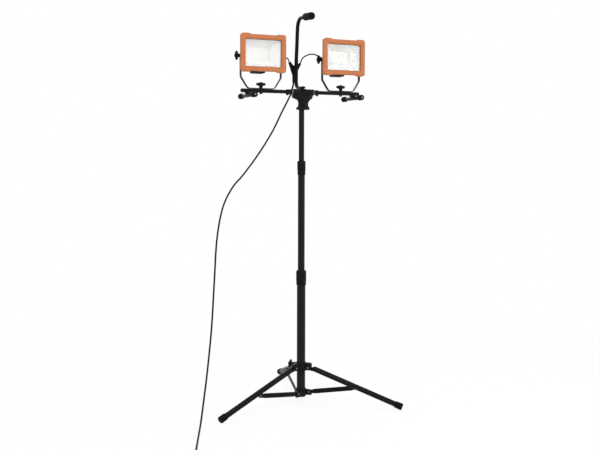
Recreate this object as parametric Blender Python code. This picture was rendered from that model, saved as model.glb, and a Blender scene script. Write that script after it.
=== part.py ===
"""Twin lamp work light on a telescopic folding tripod.

Two framed LED lamps tilt in U brackets on a crossbar. The crossbar's T head sits on a three-part
mast, and the mast stands on three hinged legs that fold with a sliding collar. The lamps' leads
join in a moulded splitter, and the mains lead runs from it to a coil and a plug on the floor.

Metres, +Z up. The lamps face -Y. The origin is on the floor, under the middle of the stand's box.
"""

import math

import bmesh
import bpy
import numpy as np
from mathutils import Matrix, Vector

# ---- Driving dimensions ---------------------------------------------------------------------
CLEAR = 0.0003          # the gap left between pieces that seat on each other
MAST = (0.04107, -0.06456)  # the mast's axis on the floor

# mast
BASE_TUBE_R, MID_TUBE_R, TOP_TUBE_R = 0.0175, 0.0140, 0.0110
TUBE_WALL = 0.0012
BASE_TUBE_Z = (0.0250, 0.520)
MID_TUBE_Z = (0.430, 0.958)
TOP_TUBE_Z = (0.800, 1.236)
LOWER_LOCK_Z, LOWER_LOCK_R = (0.486, 0.546), 0.0218
UPPER_LOCK_Z, UPPER_LOCK_R = (0.936, 0.993), 0.0178

# tripod
LEG_AZIMUTHS = {"right": -41.6, "left": -161.6, "rear": 78.4}
LEG_PIVOT_R, LEG_PIVOT_Z = 0.0300, 0.1420
BRACE_PIVOT_R, BRACE_PIVOT_Z = 0.0300, 0.0370
FOOT_R, FOOT_Z = 0.4240, 0.0110     # middle of a foot's end face
LEG_R, LEG_LIFT = 0.0110, 0.0060    # a leg tube's radius, and its axis above the pivot's line
BRACE_ON_LEG = 0.2167               # from a leg's pivot to the brace's pivot on it
BRACE_SIDE = 0.0140                 # how far a brace lies beside the leg's middle plane
RING_R = 0.0208                     # outside of the two collars on the base tube
LEG_COLLAR_Z = (0.1280, 0.1640)
CLAMP_AZIMUTH, CLAMP_LIFT = 138.4, 0.0085          # the clamp knob on the leg collar
BASE_COLLAR_Z = (0.0210, 0.0540)

# head
BAR_Z, BAR_R, BAR_HALF = 1.2680, 0.0075, 0.2600
HEAD_X = 0.0031                     # the T head's middle, beside the mast's axis
HEAD_HALF, HOLDER_R = 0.0441, 0.0125
NECK_Z = 1.1980
CROSS_FOOT_X, CROSS_FOOT_HALF, CROSS_FOOT_R = 0.2320, 0.0780, 0.0080
CROSS_FOOT_DROP = 0.0188            # a cross foot's axis below the crossbar's
HANDLE_R, GRIP_R, GRIP_LENGTH = 0.0075, 0.0145, 0.0650
GRIP_REAR = -0.0262
GRIP_FRONT_UP, GRIP_REAR_UP = 0.2893, 0.2936   # the grip's axis above the bar, at both ends

# lamps
LAMP_X, PIVOT_UP = 0.1765, 0.1330   # bracket bolts either side, and tilt pivots above the bar
LAMP_MID = 0.0107                   # the lamp's middle above its pivot
FRAME_W, FRAME_H, FRAME_CORNER = 0.1900, 0.1480, 0.0120
PAD_LENGTH, PAD_RISE = 0.0340, 0.0036
WINDOW_W, WINDOW_H = 0.1510, 0.1040
FRAME_FRONT, FRAME_BACK = -0.0355, -0.0205
HOUSING_W, HOUSING_H, HOUSING_BACK = 0.1630, 0.1300, 0.0160
FIN_COUNT, FIN_PITCH, FIN_THICK, FIN_BACK = 12, 0.0126, 0.0026, 0.0298
ARM_HALF, ARM_THICK, ARM_WIDTH = 0.0850, 0.0026, 0.0150
BRACKET_FOOT = BAR_R + 0.0006 + ARM_THICK / 2      # the bracket's foot above the bar's axis
BOX_HALF, BOX_Z, BOX_BACK = 0.0260, -0.0200, 0.0520  # the terminal box behind a lamp
GLAND_Y, GLAND_Z = 0.0380, 0.0060

# cords
LEAD_D, MAINS_D = 0.0052, 0.0070
SPLITTER_FOOT_Z, SPLITTER_X, SPLITTER_Y = 0.0470, -0.0025, 0.0735
SPLITTER_LEAN = 4.1                 # degrees, its top towards +X
COIL_TURNS, COIL_RADIUS, COIL_STEP = 2.40, 0.0385, 0.0078
COIL_LAYER = 0.0079
COIL_PLACE, COIL_START = (-0.568, -0.508), 155.0   # from the mast, and the angle it begins at
PLUG_AXIS_Z, PLUG_TAIL = 0.0198, 0.0700
LEAD_LEFT = [(-0.1319, 0.0380, 1.4070), (-0.1120, 0.0410, 1.4085), (-0.0850, 0.0560, 1.4130),
             (-0.0560, 0.0720, 1.4145), (-0.0340, 0.0762, 1.4105), (-0.0250, 0.0743, 1.4029),
             (-0.0224, 0.0735, 1.3949)]
LEAD_RIGHT = [(0.0285, 0.0735, 1.3913), (0.0312, 0.0727, 1.3989), (0.0378, 0.0700, 1.4125),
              (0.0555, 0.0665, 1.4238), (0.0708, 0.0575, 1.4278), (0.0858, 0.0530, 1.4258),
              (0.1000, 0.0440, 1.4180), (0.1150, 0.0385, 1.4095), (0.1319, 0.0380, 1.4070)]
MAINS_ROUTE = [(-0.0029, 0.0735, 1.3100), (-0.0046, 0.0742, 1.2980), (-0.0140, 0.0825, 1.2580),
               (-0.0454, 0.1006, 1.1865), (-0.0770, 0.1065, 1.1213), (-0.1159, 0.1092, 1.0586),
               (-0.1607, 0.1102, 0.9962), (-0.2165, 0.1032, 0.9317), (-0.2625, 0.0937, 0.8859),
               (-0.3120, 0.0700, 0.8100), (-0.3490, 0.0380, 0.6900), (-0.3720, 0.0070, 0.5300),
               (-0.3950, -0.0230, 0.3500), (-0.4240, -0.0530, 0.1850), (-0.4540, -0.0920, 0.0720),
               (-0.4790, -0.1380, 0.0190), (-0.5000, -0.1850, 0.0038), (-0.5450, -0.3000, 0.0038)]

BLACK_PAINT = ("black_painted_tube", (0.016, 0.016, 0.017), 0.42, 0.0)
BLACK_PLASTIC = ("black_plastic", (0.020, 0.020, 0.021), 0.52, 0.0)
BLACK_CAST = ("black_cast_housing", (0.018, 0.018, 0.019), 0.50, 0.3)
ORANGE_PLASTIC = ("orange_plastic", (0.80, 0.22, 0.06), 0.45, 0.0)
RUBBER = ("black_rubber", (0.014, 0.014, 0.014), 0.80, 0.0)
FOAM = ("black_foam", (0.018, 0.018, 0.018), 0.95, 0.0)
REFLECTOR = ("bright_reflector", (0.90, 0.90, 0.90), 0.12, 1.0)
GLASS = ("clear_glass", (0.95, 0.97, 0.97), 0.04, 0.0)
LED = ("led_board", (0.85, 0.84, 0.80), 0.50, 0.0)
CORD = ("black_cord", (0.016, 0.016, 0.016), 0.60, 0.0)


# ---- Making objects -------------------------------------------------------------------------
def clear_scene():
    for old in list(bpy.data.objects):
        bpy.data.objects.remove(old, do_unlink=True)


def material(finish):
    name, colour, roughness, metallic = finish
    made = bpy.data.materials.get(name)
    if made is None:
        made = bpy.data.materials.new(name)
        made.use_nodes = True
        shader = made.node_tree.nodes["Principled BSDF"]
        shader.inputs["Base Color"].default_value = (*colour, 1.0)
        shader.inputs["Roughness"].default_value = roughness
        shader.inputs["Metallic"].default_value = metallic
    return made


def empty(name, location, rotation=(0, 0, 0), parent=None):
    made = bpy.data.objects.new(name, None)
    bpy.context.collection.objects.link(made)
    made.location = location
    made.rotation_euler = rotation
    made.parent = parent
    return made


def part(name, mesh, finish, parent=None, location=(0, 0, 0), rotation=(0, 0, 0)):
    """An object for one sub-part. mesh is a bmesh, or a mesh that another copy already uses."""
    if isinstance(mesh, bmesh.types.BMesh):
        data = bpy.data.meshes.new(name)
        bmesh.ops.recalc_face_normals(mesh, faces=mesh.faces)
        mesh.to_mesh(data)
        mesh.free()
        data.shade_smooth()
        data.set_sharp_from_angle(angle=math.radians(35))
        data.materials.append(material(finish))
        mesh = data
    made = bpy.data.objects.new(name, mesh)
    bpy.context.collection.objects.link(made)
    made.location = location
    made.rotation_euler = rotation
    made.parent = parent
    return made


def combine(target, name, mesh, operation, location=(0, 0, 0), rotation=(0, 0, 0)):
    """Joins a helper shape to target, or cuts it away. The helper shares target's frame."""
    helper = part(name, mesh, BLACK_PLASTIC, target, location, rotation)
    helper.hide_render = True
    helper.display_type = "WIRE"
    change = target.modifiers.new(name, "BOOLEAN")
    change.operation = operation
    change.solver = "EXACT"
    change.object = helper
    return helper


def loft(rings, loop=False):
    """A closed body through rings of points: its ends are capped, or loop joins last to first."""
    bm = bmesh.new()
    rows = [[bm.verts.new(p) for p in ring] for ring in rings]
    count = len(rows[0])
    pairs = list(zip(rows, rows[1:]))
    if loop:
        pairs.append((rows[-1], rows[0]))
    for low, high in pairs:
        for i in range(count):
            j = (i + 1) % count
            bm.faces.new((low[i], low[j], high[j], high[i]))
    if not loop:
        bm.faces.new(rows[0])
        bm.faces.new(rows[-1])
    return bm


def circle(radius, z, count):
    turn = [2 * math.pi * i / count for i in range(count)]
    return [(radius * math.cos(a), radius * math.sin(a), z) for a in turn]


def turned(profile, count, loop=False):
    """A body of revolution about Z from (radius, z) steps, solid, or bored where loop is true."""
    return loft([circle(r, z, count) for r, z in profile], loop)


def tube(radius, bore, z0, z1, count):
    return turned([(radius, z0), (radius, z1), (bore, z1), (bore, z0)], count, loop=True)


def along_x(bm):
    """Lays a shape made about Z along +X."""
    bm.transform(Matrix.Rotation(math.pi / 2, 4, "Y"))
    return bm


def along_y(bm):
    """Lays a shape made about Z along +Y."""
    bm.transform(Matrix.Rotation(-math.pi / 2, 4, "X"))
    return bm


def moved(bm, x=0.0, y=0.0, z=0.0):
    bm.transform(Matrix.Translation((x, y, z)))
    return bm


def block(x0, x1, y0, y1, z0, z1, chamfer=0.0):
    """A box whose upright edges are chamfered."""
    c = chamfer
    outline = [(x0 + c, y0), (x1 - c, y0), (x1, y0 + c), (x1, y1 - c),
               (x1 - c, y1), (x0 + c, y1), (x0, y1 - c), (x0, y0 + c)]
    if not chamfer:
        outline = [(x0, y0), (x1, y0), (x1, y1), (x0, y1)]
    return loft([[(x, y, z) for x, y in outline] for z in (z0, z1)])


def rounded_outline(width, height, radius, steps=3):
    """Points round a rectangle with round corners, anticlockwise from the lower right."""
    points = []
    for k, (sx, sy) in enumerate([(1, -1), (1, 1), (-1, 1), (-1, -1)]):
        cx, cy = sx * (width / 2 - radius), sy * (height / 2 - radius)
        for i in range(steps + 1):
            a = math.radians(90 * (k - 1) + 90 * i / steps)
            points.append((cx + radius * math.cos(a), cy + radius * math.sin(a)))
    return points


def upright(outline, y, z=0.0):
    """Lays a flat outline in the plane that a lamp's face lies in."""
    return [(x, y, z + up) for x, up in outline]


# ---- Tripod ---------------------------------------------------------------------------------
def leg_lie():
    """A leg's length along its pivot line, and its angle below the horizontal, at rest."""
    out, down = FOOT_R - LEG_PIVOT_R, LEG_PIVOT_Z - FOOT_Z
    reach = math.hypot(out, down)
    return math.sqrt(reach**2 - LEG_LIFT**2), math.atan2(down, out) + math.asin(LEG_LIFT / reach)


def brace_lie():
    """A brace's length between pivots, and its angle above the horizontal, at rest."""
    fall = leg_lie()[1]
    out = LEG_PIVOT_R + BRACE_ON_LEG * math.cos(fall) - BRACE_PIVOT_R
    up = LEG_PIVOT_Z - BRACE_ON_LEG * math.sin(fall) - BRACE_PIVOT_Z
    return math.hypot(out, up), math.atan2(up, out)


def oval(x, half_y, half_z, lift, squareness, count=16):
    """A ring across a leg, from a near square tongue (squareness 0.5) to a round tube (1)."""
    points = []
    for i in range(count):
        a = 2 * math.pi * (i + 0.5) / count
        c, s = math.cos(a), math.sin(a)
        y = half_y * math.copysign(abs(c) ** squareness, c)
        z = half_z * math.copysign(abs(s) ** squareness, s)
        points.append((x, y, lift + z))
    return points


def leg_mesh():
    """A tube that is pressed to a flat tongue round its pivot, and is open at the foot."""
    length = leg_lie()[0] - 0.0050
    outer = [
        oval(-0.0082, 0.0030, 0.0035, 0.0, 0.6),
        oval(-0.0040, 0.0036, 0.0074, 0.0, 0.52),
        oval(0.0165, 0.0036, 0.0080, 0.0005, 0.5),
        oval(0.0210, 0.0085, 0.0098, LEG_LIFT * 0.6, 0.8),
        oval(0.0275, LEG_R, LEG_R, LEG_LIFT, 1.0),
        oval(length, LEG_R, LEG_R, LEG_LIFT, 1.0),
    ]
    bore = LEG_R - TUBE_WALL
    inner = [oval(length, bore, bore, LEG_LIFT, 1.0), oval(0.0330, bore, bore, LEG_LIFT, 1.0)]
    return loft(outer + inner)


def leg_cap_mesh():
    """A ribbed rubber foot over a leg's end, cut flat where it meets the floor."""
    length, fall = leg_lie()
    bore, mouth = LEG_R + CLEAR, length - 0.0300
    profile = [(bore, length - 0.0046), (bore, mouth), (0.0128, mouth), (0.0136, mouth + 0.0015),
               (0.0136, mouth + 0.0060), (0.0130, mouth + 0.0072), (0.0139, mouth + 0.0090),
               (0.0139, length - 0.0030), (0.0118, length)]
    cap = along_x(turned(profile, 16))
    cap.transform(Matrix.Translation((0, 0, LEG_LIFT)))
    up = Vector((-math.sin(fall), 0, math.cos(fall)))
    everything = list(cap.verts) + list(cap.edges) + list(cap.faces)
    bmesh.ops.bisect_plane(cap, geom=everything, dist=1e-7, plane_co=-LEG_PIVOT_Z * up,
                           plane_no=up, clear_inner=True)
    rim = [e for e in cap.edges if e.is_boundary]
    bmesh.ops.edgeloop_fill(cap, edges=rim)
    return cap


def brace_mesh():
    """A flattened tube, pressed flat at its round ends. A rivet's heads hold it to the leg."""
    length = brace_lie()[0]
    rows = [(-0.0076, 0.0014, 0.0032), (-0.0040, 0.0015, 0.0072), (0.0140, 0.0015, 0.0080),
            (0.0280, 0.0026, 0.0098), (length - 0.0280, 0.0026, 0.0098),
            (length - 0.0140, 0.0015, 0.0080), (length + 0.0040, 0.0015, 0.0072),
            (length + 0.0076, 0.0014, 0.0032)]
    rings = [oval(x, half_y, half_z, 0.0, 0.55, 12) for x, half_y, half_z in rows]
    strip = loft(rings)
    strip.transform(Matrix.Translation((0, BRACE_SIDE, 0)))
    return strip


def rivet_mesh(y0, y1, shank, head):
    """A pin along Y with a domed head at each end."""
    tall = 0.0016
    profile = [(head * 0.6, y0 - tall), (head, y0 - tall * 0.4), (head, y0), (shank, y0),
               (shank, y1), (head, y1), (head, y1 + tall * 0.4), (head * 0.6, y1 + tall)]
    return along_y(turned(profile, 8))


def clevis_mesh(inner, outer, cheek_end, web_near, web_far, gap, cheek):
    """Two cheeks joined by a web, pointing along +X, as a U that narrows outwards. The web is
    above the pin where web_far is positive, and below it where web_far is negative."""
    half, wide = gap / 2, gap / 2 + cheek
    rings = []
    for x, k, m in ((inner, 1.0, 1.0), (outer - 0.010, 1.0, 1.0), (outer, 0.45, 0.80)):
        ends, near, far = cheek_end * k, web_near, web_far
        if m < 1.0:
            far = web_near + (web_far - web_near) * m
        outline = [(-wide, ends), (-half, ends), (-half, near), (half, near),
                   (half, ends), (wide, ends), (wide, far), (-wide, far)]
        rings.append([(x, y, z) for y, z in outline])
    return loft(rings)


def collar(name, z_range, lug, side, parent, floor=0.0):
    """A ring round the base tube with three clevises and their pins. Its origin is its middle."""
    z0, z1 = z_range
    middle = (z0 + z1) / 2
    half = (z1 - z0) / 2
    profile = [(RING_R - 0.001, -half), (RING_R, 0.001 - half), (RING_R, half - 0.001),
               (RING_R - 0.001, half)]
    made = part(name, turned(profile, 24), BLACK_PLASTIC, parent, (0, 0, middle))
    for where, azimuth in LEG_AZIMUTHS.items():
        turn = math.radians(azimuth)
        clevis = moved(clevis_mesh(**lug["shape"]), y=side)
        pin = moved(rivet_mesh(side - lug["grip"], side + lug["grip"], 0.0022, 0.0044),
                    x=lug["pivot_r"])
        place = (0, 0, lug["pivot_z"] - middle)
        combine(made, f"{name}_{where}_clevis", clevis, "UNION", place, (0, 0, turn))
        combine(made, f"{name}_{where}_pin", pin, "UNION", place, (0, 0, turn))
    bottom = floor - half if floor else -0.050
    bore = turned([(BASE_TUBE_R + CLEAR * 2, bottom), (BASE_TUBE_R + CLEAR * 2, 0.050)], 24)
    combine(made, f"{name}_bore", bore, "DIFFERENCE")
    return made


def tripod(stand):
    base_lug = {
        "shape": {"inner": 0.0100, "outer": 0.0415, "cheek_end": 0.0100, "web_near": -0.0098,
                  "web_far": -0.0130, "gap": 0.0038, "cheek": 0.0026},
        "grip": 0.0041, "pivot_r": BRACE_PIVOT_R, "pivot_z": BRACE_PIVOT_Z,
    }
    leg_lug = {
        "shape": {"inner": 0.0150, "outer": 0.0450, "cheek_end": -0.0100, "web_near": 0.0106,
                  "web_far": 0.0205, "gap": 0.0080, "cheek": 0.0030},
        "grip": 0.0066, "pivot_r": LEG_PIVOT_R, "pivot_z": LEG_PIVOT_Z,
    }
    collar("base_collar", BASE_COLLAR_Z, base_lug, BRACE_SIDE, stand, floor=0.0036)
    slider = collar("leg_collar", LEG_COLLAR_Z, leg_lug, 0.0, stand)
    boss = turned([(0.0075, 0.0190), (0.0075, 0.0300), (0.0064, 0.0320)], 12)
    turn = math.radians(CLAMP_AZIMUTH)
    combine(slider, "leg_collar_boss", along_x(boss), "UNION", (0, 0, CLAMP_LIFT), (0, 0, turn))
    hole = turned([(0.0035, 0.0100), (0.0035, 0.0400)], 8)
    combine(slider, "leg_collar_thread", along_x(hole), "DIFFERENCE", (0, 0, CLAMP_LIFT),
            (0, 0, turn))
    reach = empty("leg_clamp_axis", (0, 0, sum(LEG_COLLAR_Z) / 2 + CLAMP_LIFT),
                  (math.radians(40), 0, turn), stand)
    part("leg_clamp_knob", wing_knob_mesh(0.0195, 0.0320 + CLEAR, 0.0190), BLACK_PLASTIC, reach,
         rotation=(0, math.pi / 2, 0))

    fall, rise = leg_lie()[1], brace_lie()[1]
    shared = {}
    for where, azimuth in LEG_AZIMUTHS.items():
        turn = math.radians(azimuth)
        out = Vector((math.cos(turn), math.sin(turn), 0))
        hip = empty(f"leg_{where}_hinge", LEG_PIVOT_R * out + Vector((0, 0, LEG_PIVOT_Z)),
                    (0, fall, turn), stand)
        leg = part(f"leg_{where}", shared.get("leg") or leg_mesh(), BLACK_PAINT, hip)
        pin_hole = along_y(turned([(0.0026, -0.010), (0.0026, 0.010)], 8))
        combine(leg, f"leg_{where}_hole", pin_hole, "DIFFERENCE")
        cap = part(f"leg_cap_{where}", shared.get("cap") or leg_cap_mesh(), RUBBER, hip)
        ankle = empty(f"brace_{where}_hinge",
                      BRACE_PIVOT_R * out + Vector((0, 0, BRACE_PIVOT_Z)), (0, -rise, turn),
                      stand)
        brace = part(f"brace_{where}", shared.get("brace") or brace_mesh(), BLACK_PAINT, ankle)
        brace_hole = along_y(turned([(0.0026, 0.0), (0.0026, 0.030)], 8))
        combine(brace, f"brace_{where}_hole", brace_hole, "DIFFERENCE")
        rivet = moved(rivet_mesh(BRACE_SIDE, BRACE_SIDE + 0.0015, 0.0020, 0.0042),
                      x=brace_lie()[0])
        combine(brace, f"brace_{where}_rivet", rivet, "UNION")
        shared = {"leg": leg.data, "cap": cap.data, "brace": brace.data}


# ---- Mast -----------------------------------------------------------------------------------
def scalloped(radius, depth, z, count=24, lobes=6):
    """A ring for a grip collar: flats between shallow ridges."""
    points = []
    for i in range(count):
        a = 2 * math.pi * i / count
        r = radius - depth * (0.5 - 0.5 * math.cos(lobes * a))
        points.append((r * math.cos(a), r * math.sin(a), z))
    return points


def twist_lock(name, z_range, radius, outer_tube_r, outer_tube_top, inner_tube_r, parent):
    """A fixed ferrule on the outer tube, and the grip collar that turns on it."""
    z0, z1 = z_range
    split = z0 + 0.30 * (z1 - z0)
    bore, lip = outer_tube_r + 0.0005, inner_tube_r + 0.0005
    rim = radius - 0.0014
    ferrule = [(bore, z0), (rim - 0.0012, z0), (rim, z0 + 0.0030), (rim, split), (bore, split)]
    part(f"{name}_ferrule", turned([(r, z - z0) for r, z in ferrule], 24, loop=True),
         BLACK_PLASTIC, parent, (0, 0, z0))
    low = split + 0.0004
    deep = outer_tube_top + 0.0010
    outer = [(radius - 0.0022, 0.0, low), (radius, 0.0010, low + 0.0030),
             (radius, 0.0010, z1 - 0.0080), (radius - 0.0030, 0.0002, z1)]
    inner = [(lip, z1), (lip, deep), (bore, deep - 0.0008), (bore, low)]
    rings = [scalloped(r, depth, z - low) for r, depth, z in outer]
    rings += [circle(r, z - low, 24) for r, z in inner]
    part(f"{name}_collar", loft(rings, loop=True), BLACK_PLASTIC, parent, (0, 0, low))


def mast(stand):
    z0, z1 = BASE_TUBE_Z
    part("base_tube", tube(BASE_TUBE_R, BASE_TUBE_R - TUBE_WALL, 0, z1 - z0, 28), BLACK_PAINT,
         stand, (0, 0, z0))
    z0, z1 = MID_TUBE_Z
    part("mid_tube", tube(MID_TUBE_R, MID_TUBE_R - TUBE_WALL, 0, z1 - z0, 24), BLACK_PAINT,
         stand, (0, 0, z0))
    z0, z1 = TOP_TUBE_Z
    part("top_tube", tube(TOP_TUBE_R, TOP_TUBE_R - TUBE_WALL, 0, z1 - z0, 20), BLACK_PAINT,
         stand, (0, 0, z0))
    twist_lock("lower_lock", LOWER_LOCK_Z, LOWER_LOCK_R, BASE_TUBE_R, BASE_TUBE_Z[1],
               MID_TUBE_R, stand)
    twist_lock("upper_lock", UPPER_LOCK_Z, UPPER_LOCK_R, MID_TUBE_R, MID_TUBE_Z[1],
               TOP_TUBE_R, stand)


# ---- Head -----------------------------------------------------------------------------------
def neck_ring(left, right, half_y, z, squareness, count=16):
    """A ring across the T head, from left to right of the mast's axis."""
    middle, half_x = (left + right) / 2, (right - left) / 2
    points = []
    for i in range(count):
        a = 2 * math.pi * i / count
        c, s = math.cos(a), math.sin(a)
        x = half_x * math.copysign(abs(c) ** squareness, c)
        y = half_y * math.copysign(abs(s) ** squareness, s)
        points.append((middle + x, y, z))
    return points


def t_head(swivel):
    """A moulded saddle: a round holder for the bar on a flared neck with a clamp lug."""
    left, right = HEAD_X - HEAD_HALF, HEAD_X + HEAD_HALF
    rows = [(-0.0203, 0.0316, 0.0176, 0.0000, 0.75), (-0.0215, 0.0330, 0.0188, 0.0018, 0.75),
            (-0.0215, 0.0330, 0.0188, 0.0088, 0.75), (-0.0152, 0.0292, 0.0150, 0.0130, 0.8),
            (-0.0138, 0.0275, 0.0145, 0.0230, 0.8), (-0.0146, 0.0308, 0.0145, 0.0330, 0.75),
            (-0.0200, 0.0367, 0.0142, 0.0395, 0.7), (-0.0320, 0.0430, 0.0138, 0.0440, 0.62),
            (left + 0.0010, right - 0.0010, 0.0130, 0.0480, 0.5),
            (left, right, 0.0125, 0.0520, 0.5), (left, right, 0.0118, 0.0680, 0.5)]
    body = part("t_head", loft([neck_ring(*row) for row in rows]), BLACK_PLASTIC, swivel)
    middle = (HEAD_X, 0, BAR_Z - NECK_Z)
    holder = turned([(HOLDER_R, -HEAD_HALF - 0.0006), (HOLDER_R, HEAD_HALF + 0.0006)], 24)
    combine(body, "t_head_holder", along_x(holder), "UNION", middle)
    bore = turned([(BAR_R + CLEAR * 2, -0.060), (BAR_R + CLEAR * 2, 0.060)], 16)
    combine(body, "t_head_bar_bore", along_x(bore), "DIFFERENCE", middle)
    socket = turned([(TOP_TUBE_R + CLEAR * 2, -0.010), (TOP_TUBE_R + CLEAR * 2, 0.0390)], 16)
    combine(body, "t_head_socket", socket, "DIFFERENCE")
    slot = block(0.005, 0.050, -0.0010, 0.0010, -0.005, 0.0330)
    combine(body, "t_head_clamp_slot", slot, "DIFFERENCE")
    seat = block(HEAD_X - 0.0120, HEAD_X + 0.0120, -0.0130, 0.0110, 0.0080, 0.0128, 0.002)
    combine(body, "t_head_handle_seat", seat, "UNION", (0, 0, middle[2]))


def bar_collar(name, x0, x1, flange_first, swivel):
    """A sleeve clamped on the bar: a flange beside the T head, and a screw lug underneath."""
    bore, sleeve, flange = BAR_R + 0.0005, 0.0102, 0.0132
    length = x1 - x0
    outer = [(flange - 0.0006, 0.0), (flange, 0.0006), (flange, 0.0036), (sleeve, 0.0044),
             (sleeve, length - 0.0015), (sleeve - 0.0012, length)]
    if not flange_first:
        outer = [(r, length - x) for r, x in reversed(outer)]
    made = turned(outer + [(bore, length), (bore, 0.0)], 16, loop=True)
    body = part(name, along_x(made), BLACK_PLASTIC, swivel, (x0, 0, BAR_Z - NECK_Z))
    lug_x = length * (0.80 if flange_first else 0.20)
    lug = moved(turned([(0.0042, -0.0140), (0.0052, -0.0128), (0.0052, -0.0090)], 12), x=lug_x)
    combine(body, f"{name}_lug", lug, "UNION")


def crossbar(swivel):
    bar = part("crossbar", along_x(tube(BAR_R, BAR_R - TUBE_WALL, -BAR_HALF, BAR_HALF, 16)),
               BLACK_PAINT, swivel, (0, 0, BAR_Z - NECK_Z))
    for side in (-1, 1):
        hole = moved(turned([(0.0035, -0.020), (0.0035, 0.020)], 8), x=side * LAMP_X)
        combine(bar, f"crossbar_hole_{side}", hole, "DIFFERENCE")


def cross_foot(where, side, swivel):
    """A tube across the bar's end for standing on the floor, with a saddle and two caps."""
    axis_z = BAR_Z - NECK_Z - CROSS_FOOT_DROP
    middle = (side * CROSS_FOOT_X, 0, axis_z)
    inside = CROSS_FOOT_R - TUBE_WALL
    body = part(f"cross_foot_{where}",
                along_y(tube(CROSS_FOOT_R, inside, -CROSS_FOOT_HALF, CROSS_FOOT_HALF, 16)),
                BLACK_PAINT, swivel, middle)
    top = CROSS_FOOT_DROP - BAR_R - CLEAR
    saddle = block(-0.0105, 0.0105, -0.0095, 0.0095, 0.0072, top + 0.0040, 0.003)
    combine(body, f"cross_foot_{where}_saddle", saddle, "UNION")
    seat = turned([(BAR_R + CLEAR * 2, -0.030), (BAR_R + CLEAR * 2, 0.030)], 16)
    combine(body, f"cross_foot_{where}_seat", along_x(seat), "DIFFERENCE",
            (0, 0, CROSS_FOOT_DROP))
    bore, long = CROSS_FOOT_R + CLEAR, 0.0250
    profile = [(bore, long - 0.0035), (bore, 0.0), (0.0104, 0.0), (0.0112, 0.0020),
               (0.0112, long - 0.0040), (0.0104, long - 0.0012), (0.0088, long)]
    for end, turn in (("front", math.pi), ("rear", 0.0)):
        cap = along_y(turned(profile, 14))
        away = math.cos(turn)
        start = away * (CROSS_FOOT_HALF + 0.0038 - long)
        part(f"cross_foot_cap_{where}_{end}", cap, RUBBER, swivel,
             (middle[0], start, axis_z), (0, 0, turn))


def handle_path():
    """The handle's middle line in its own upright plane, as (y, z, half width, half height)."""
    low = 0.0183
    path = [(-0.0115, low, 0.0074, 0.0040), (-0.0100, low, 0.0085, 0.0050),
            (0.0200, low, 0.0085, 0.0051), (0.0320, low + 0.0010, 0.0079, 0.0066)]
    bend, foot_z = 0.0250, low + 0.0024
    for i in range(4):
        a = math.radians(-80 + 26.0 * i)
        path.append((0.0600 - bend + bend * math.cos(a), foot_z + bend + bend * math.sin(a),
                     HANDLE_R, HANDLE_R))
    upright_run = [(0.0580, 0.1414), (0.0530, 0.1889), (0.0484, 0.2440)]
    path += [(y, z, HANDLE_R, HANDLE_R) for y, z in upright_run]
    for i in range(5):
        a = math.radians(12 + 19.5 * i)
        path.append((0.0100 + 0.0368 * math.cos(a), 0.2560 + 0.0399 * math.sin(a),
                     HANDLE_R, HANDLE_R))
    inside = 0.0080 / GRIP_LENGTH
    end_up = GRIP_FRONT_UP + (GRIP_REAR_UP - GRIP_FRONT_UP) * inside
    path.append((GRIP_REAR - GRIP_LENGTH + 0.0080, end_up, HANDLE_R, HANDLE_R))
    return path


def swept(path, count, shrink=0.0):
    """Rings square to a path in the YZ plane, each a flat or round oval."""
    points = [Vector((0, y, z)) for y, z, _, _ in path]
    rings = []
    for i, (_, _, half_w, half_h) in enumerate(path):
        before, after = points[max(i - 1, 0)], points[min(i + 1, len(points) - 1)]
        ahead = (after - before).normalized()
        over = Vector((1, 0, 0)).cross(ahead)
        ring = []
        for k in range(count):
            a = 2 * math.pi * k / count
            offset = Vector((1, 0, 0)) * (half_w - shrink) * math.cos(a)
            offset += over * (half_h - shrink) * math.sin(a)
            ring.append(points[i] + offset)
        rings.append(ring)
    return rings


def handle(swivel):
    """A bent tube, pressed oval where it lies on the T head, with a foam grip on top."""
    path = handle_path()
    round_part = [p for p in path if p[2] == HANDLE_R][1:]
    outer = swept(path, 12)
    inner = list(reversed(swept(round_part, 12, TUBE_WALL)))
    at = (HEAD_X, 0, BAR_Z - NECK_Z)
    part("handle_tube", loft(outer + inner), BLACK_PAINT, swivel, at)
    bore, long = HANDLE_R + 0.0004, GRIP_LENGTH
    profile = [(bore, long - 0.0050), (bore, 0.0), (0.0128, 0.0), (GRIP_R, 0.0022),
               (GRIP_R, long - 0.0065), (GRIP_R - 0.0022, long - 0.0018), (GRIP_R - 0.0070, long)]
    drop = math.atan2(GRIP_REAR_UP - GRIP_FRONT_UP, GRIP_LENGTH)
    part("handle_grip", along_y(turned(profile, 18)), FOAM, swivel,
         (HEAD_X, GRIP_REAR, BAR_Z - NECK_Z + GRIP_REAR_UP), (-drop, 0, math.pi))


def splitter(swivel):
    """The moulding where the two lamp leads join the mains lead, behind the handle's tube."""
    half_y = 0.0050
    outline = [(-0.0040, 0.0), (0.0040, 0.0), (0.0060, 0.0240), (0.0285, 0.0755),
               (0.0215, 0.0790), (0.0135, 0.0700), (0.0, 0.0640), (-0.0135, 0.0700),
               (-0.0215, 0.0790), (-0.0285, 0.0755), (-0.0060, 0.0240)]
    rows = ((-half_y, 0.82), (-half_y * 0.5, 1.0), (half_y * 0.5, 1.0), (half_y, 0.82))
    rings = [[(x * k, y, 0.0385 + (z - 0.0385) * (0.5 + 0.5 * k)) for x, z in outline]
             for y, k in rows]
    lean = Matrix.Rotation(math.radians(SPLITTER_LEAN), 4, "Y")
    arms, neck = loft(rings), turned([(0.0058, -0.0040), (0.0064, 0.0200), (0.0040, 0.0260)], 14)
    arms.transform(lean)
    neck.transform(lean)
    body = part("y_splitter", arms, BLACK_PLASTIC, swivel,
                (SPLITTER_X, SPLITTER_Y, BAR_Z - NECK_Z + SPLITTER_FOOT_Z))
    combine(body, "y_splitter_neck", neck, "UNION")


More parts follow.
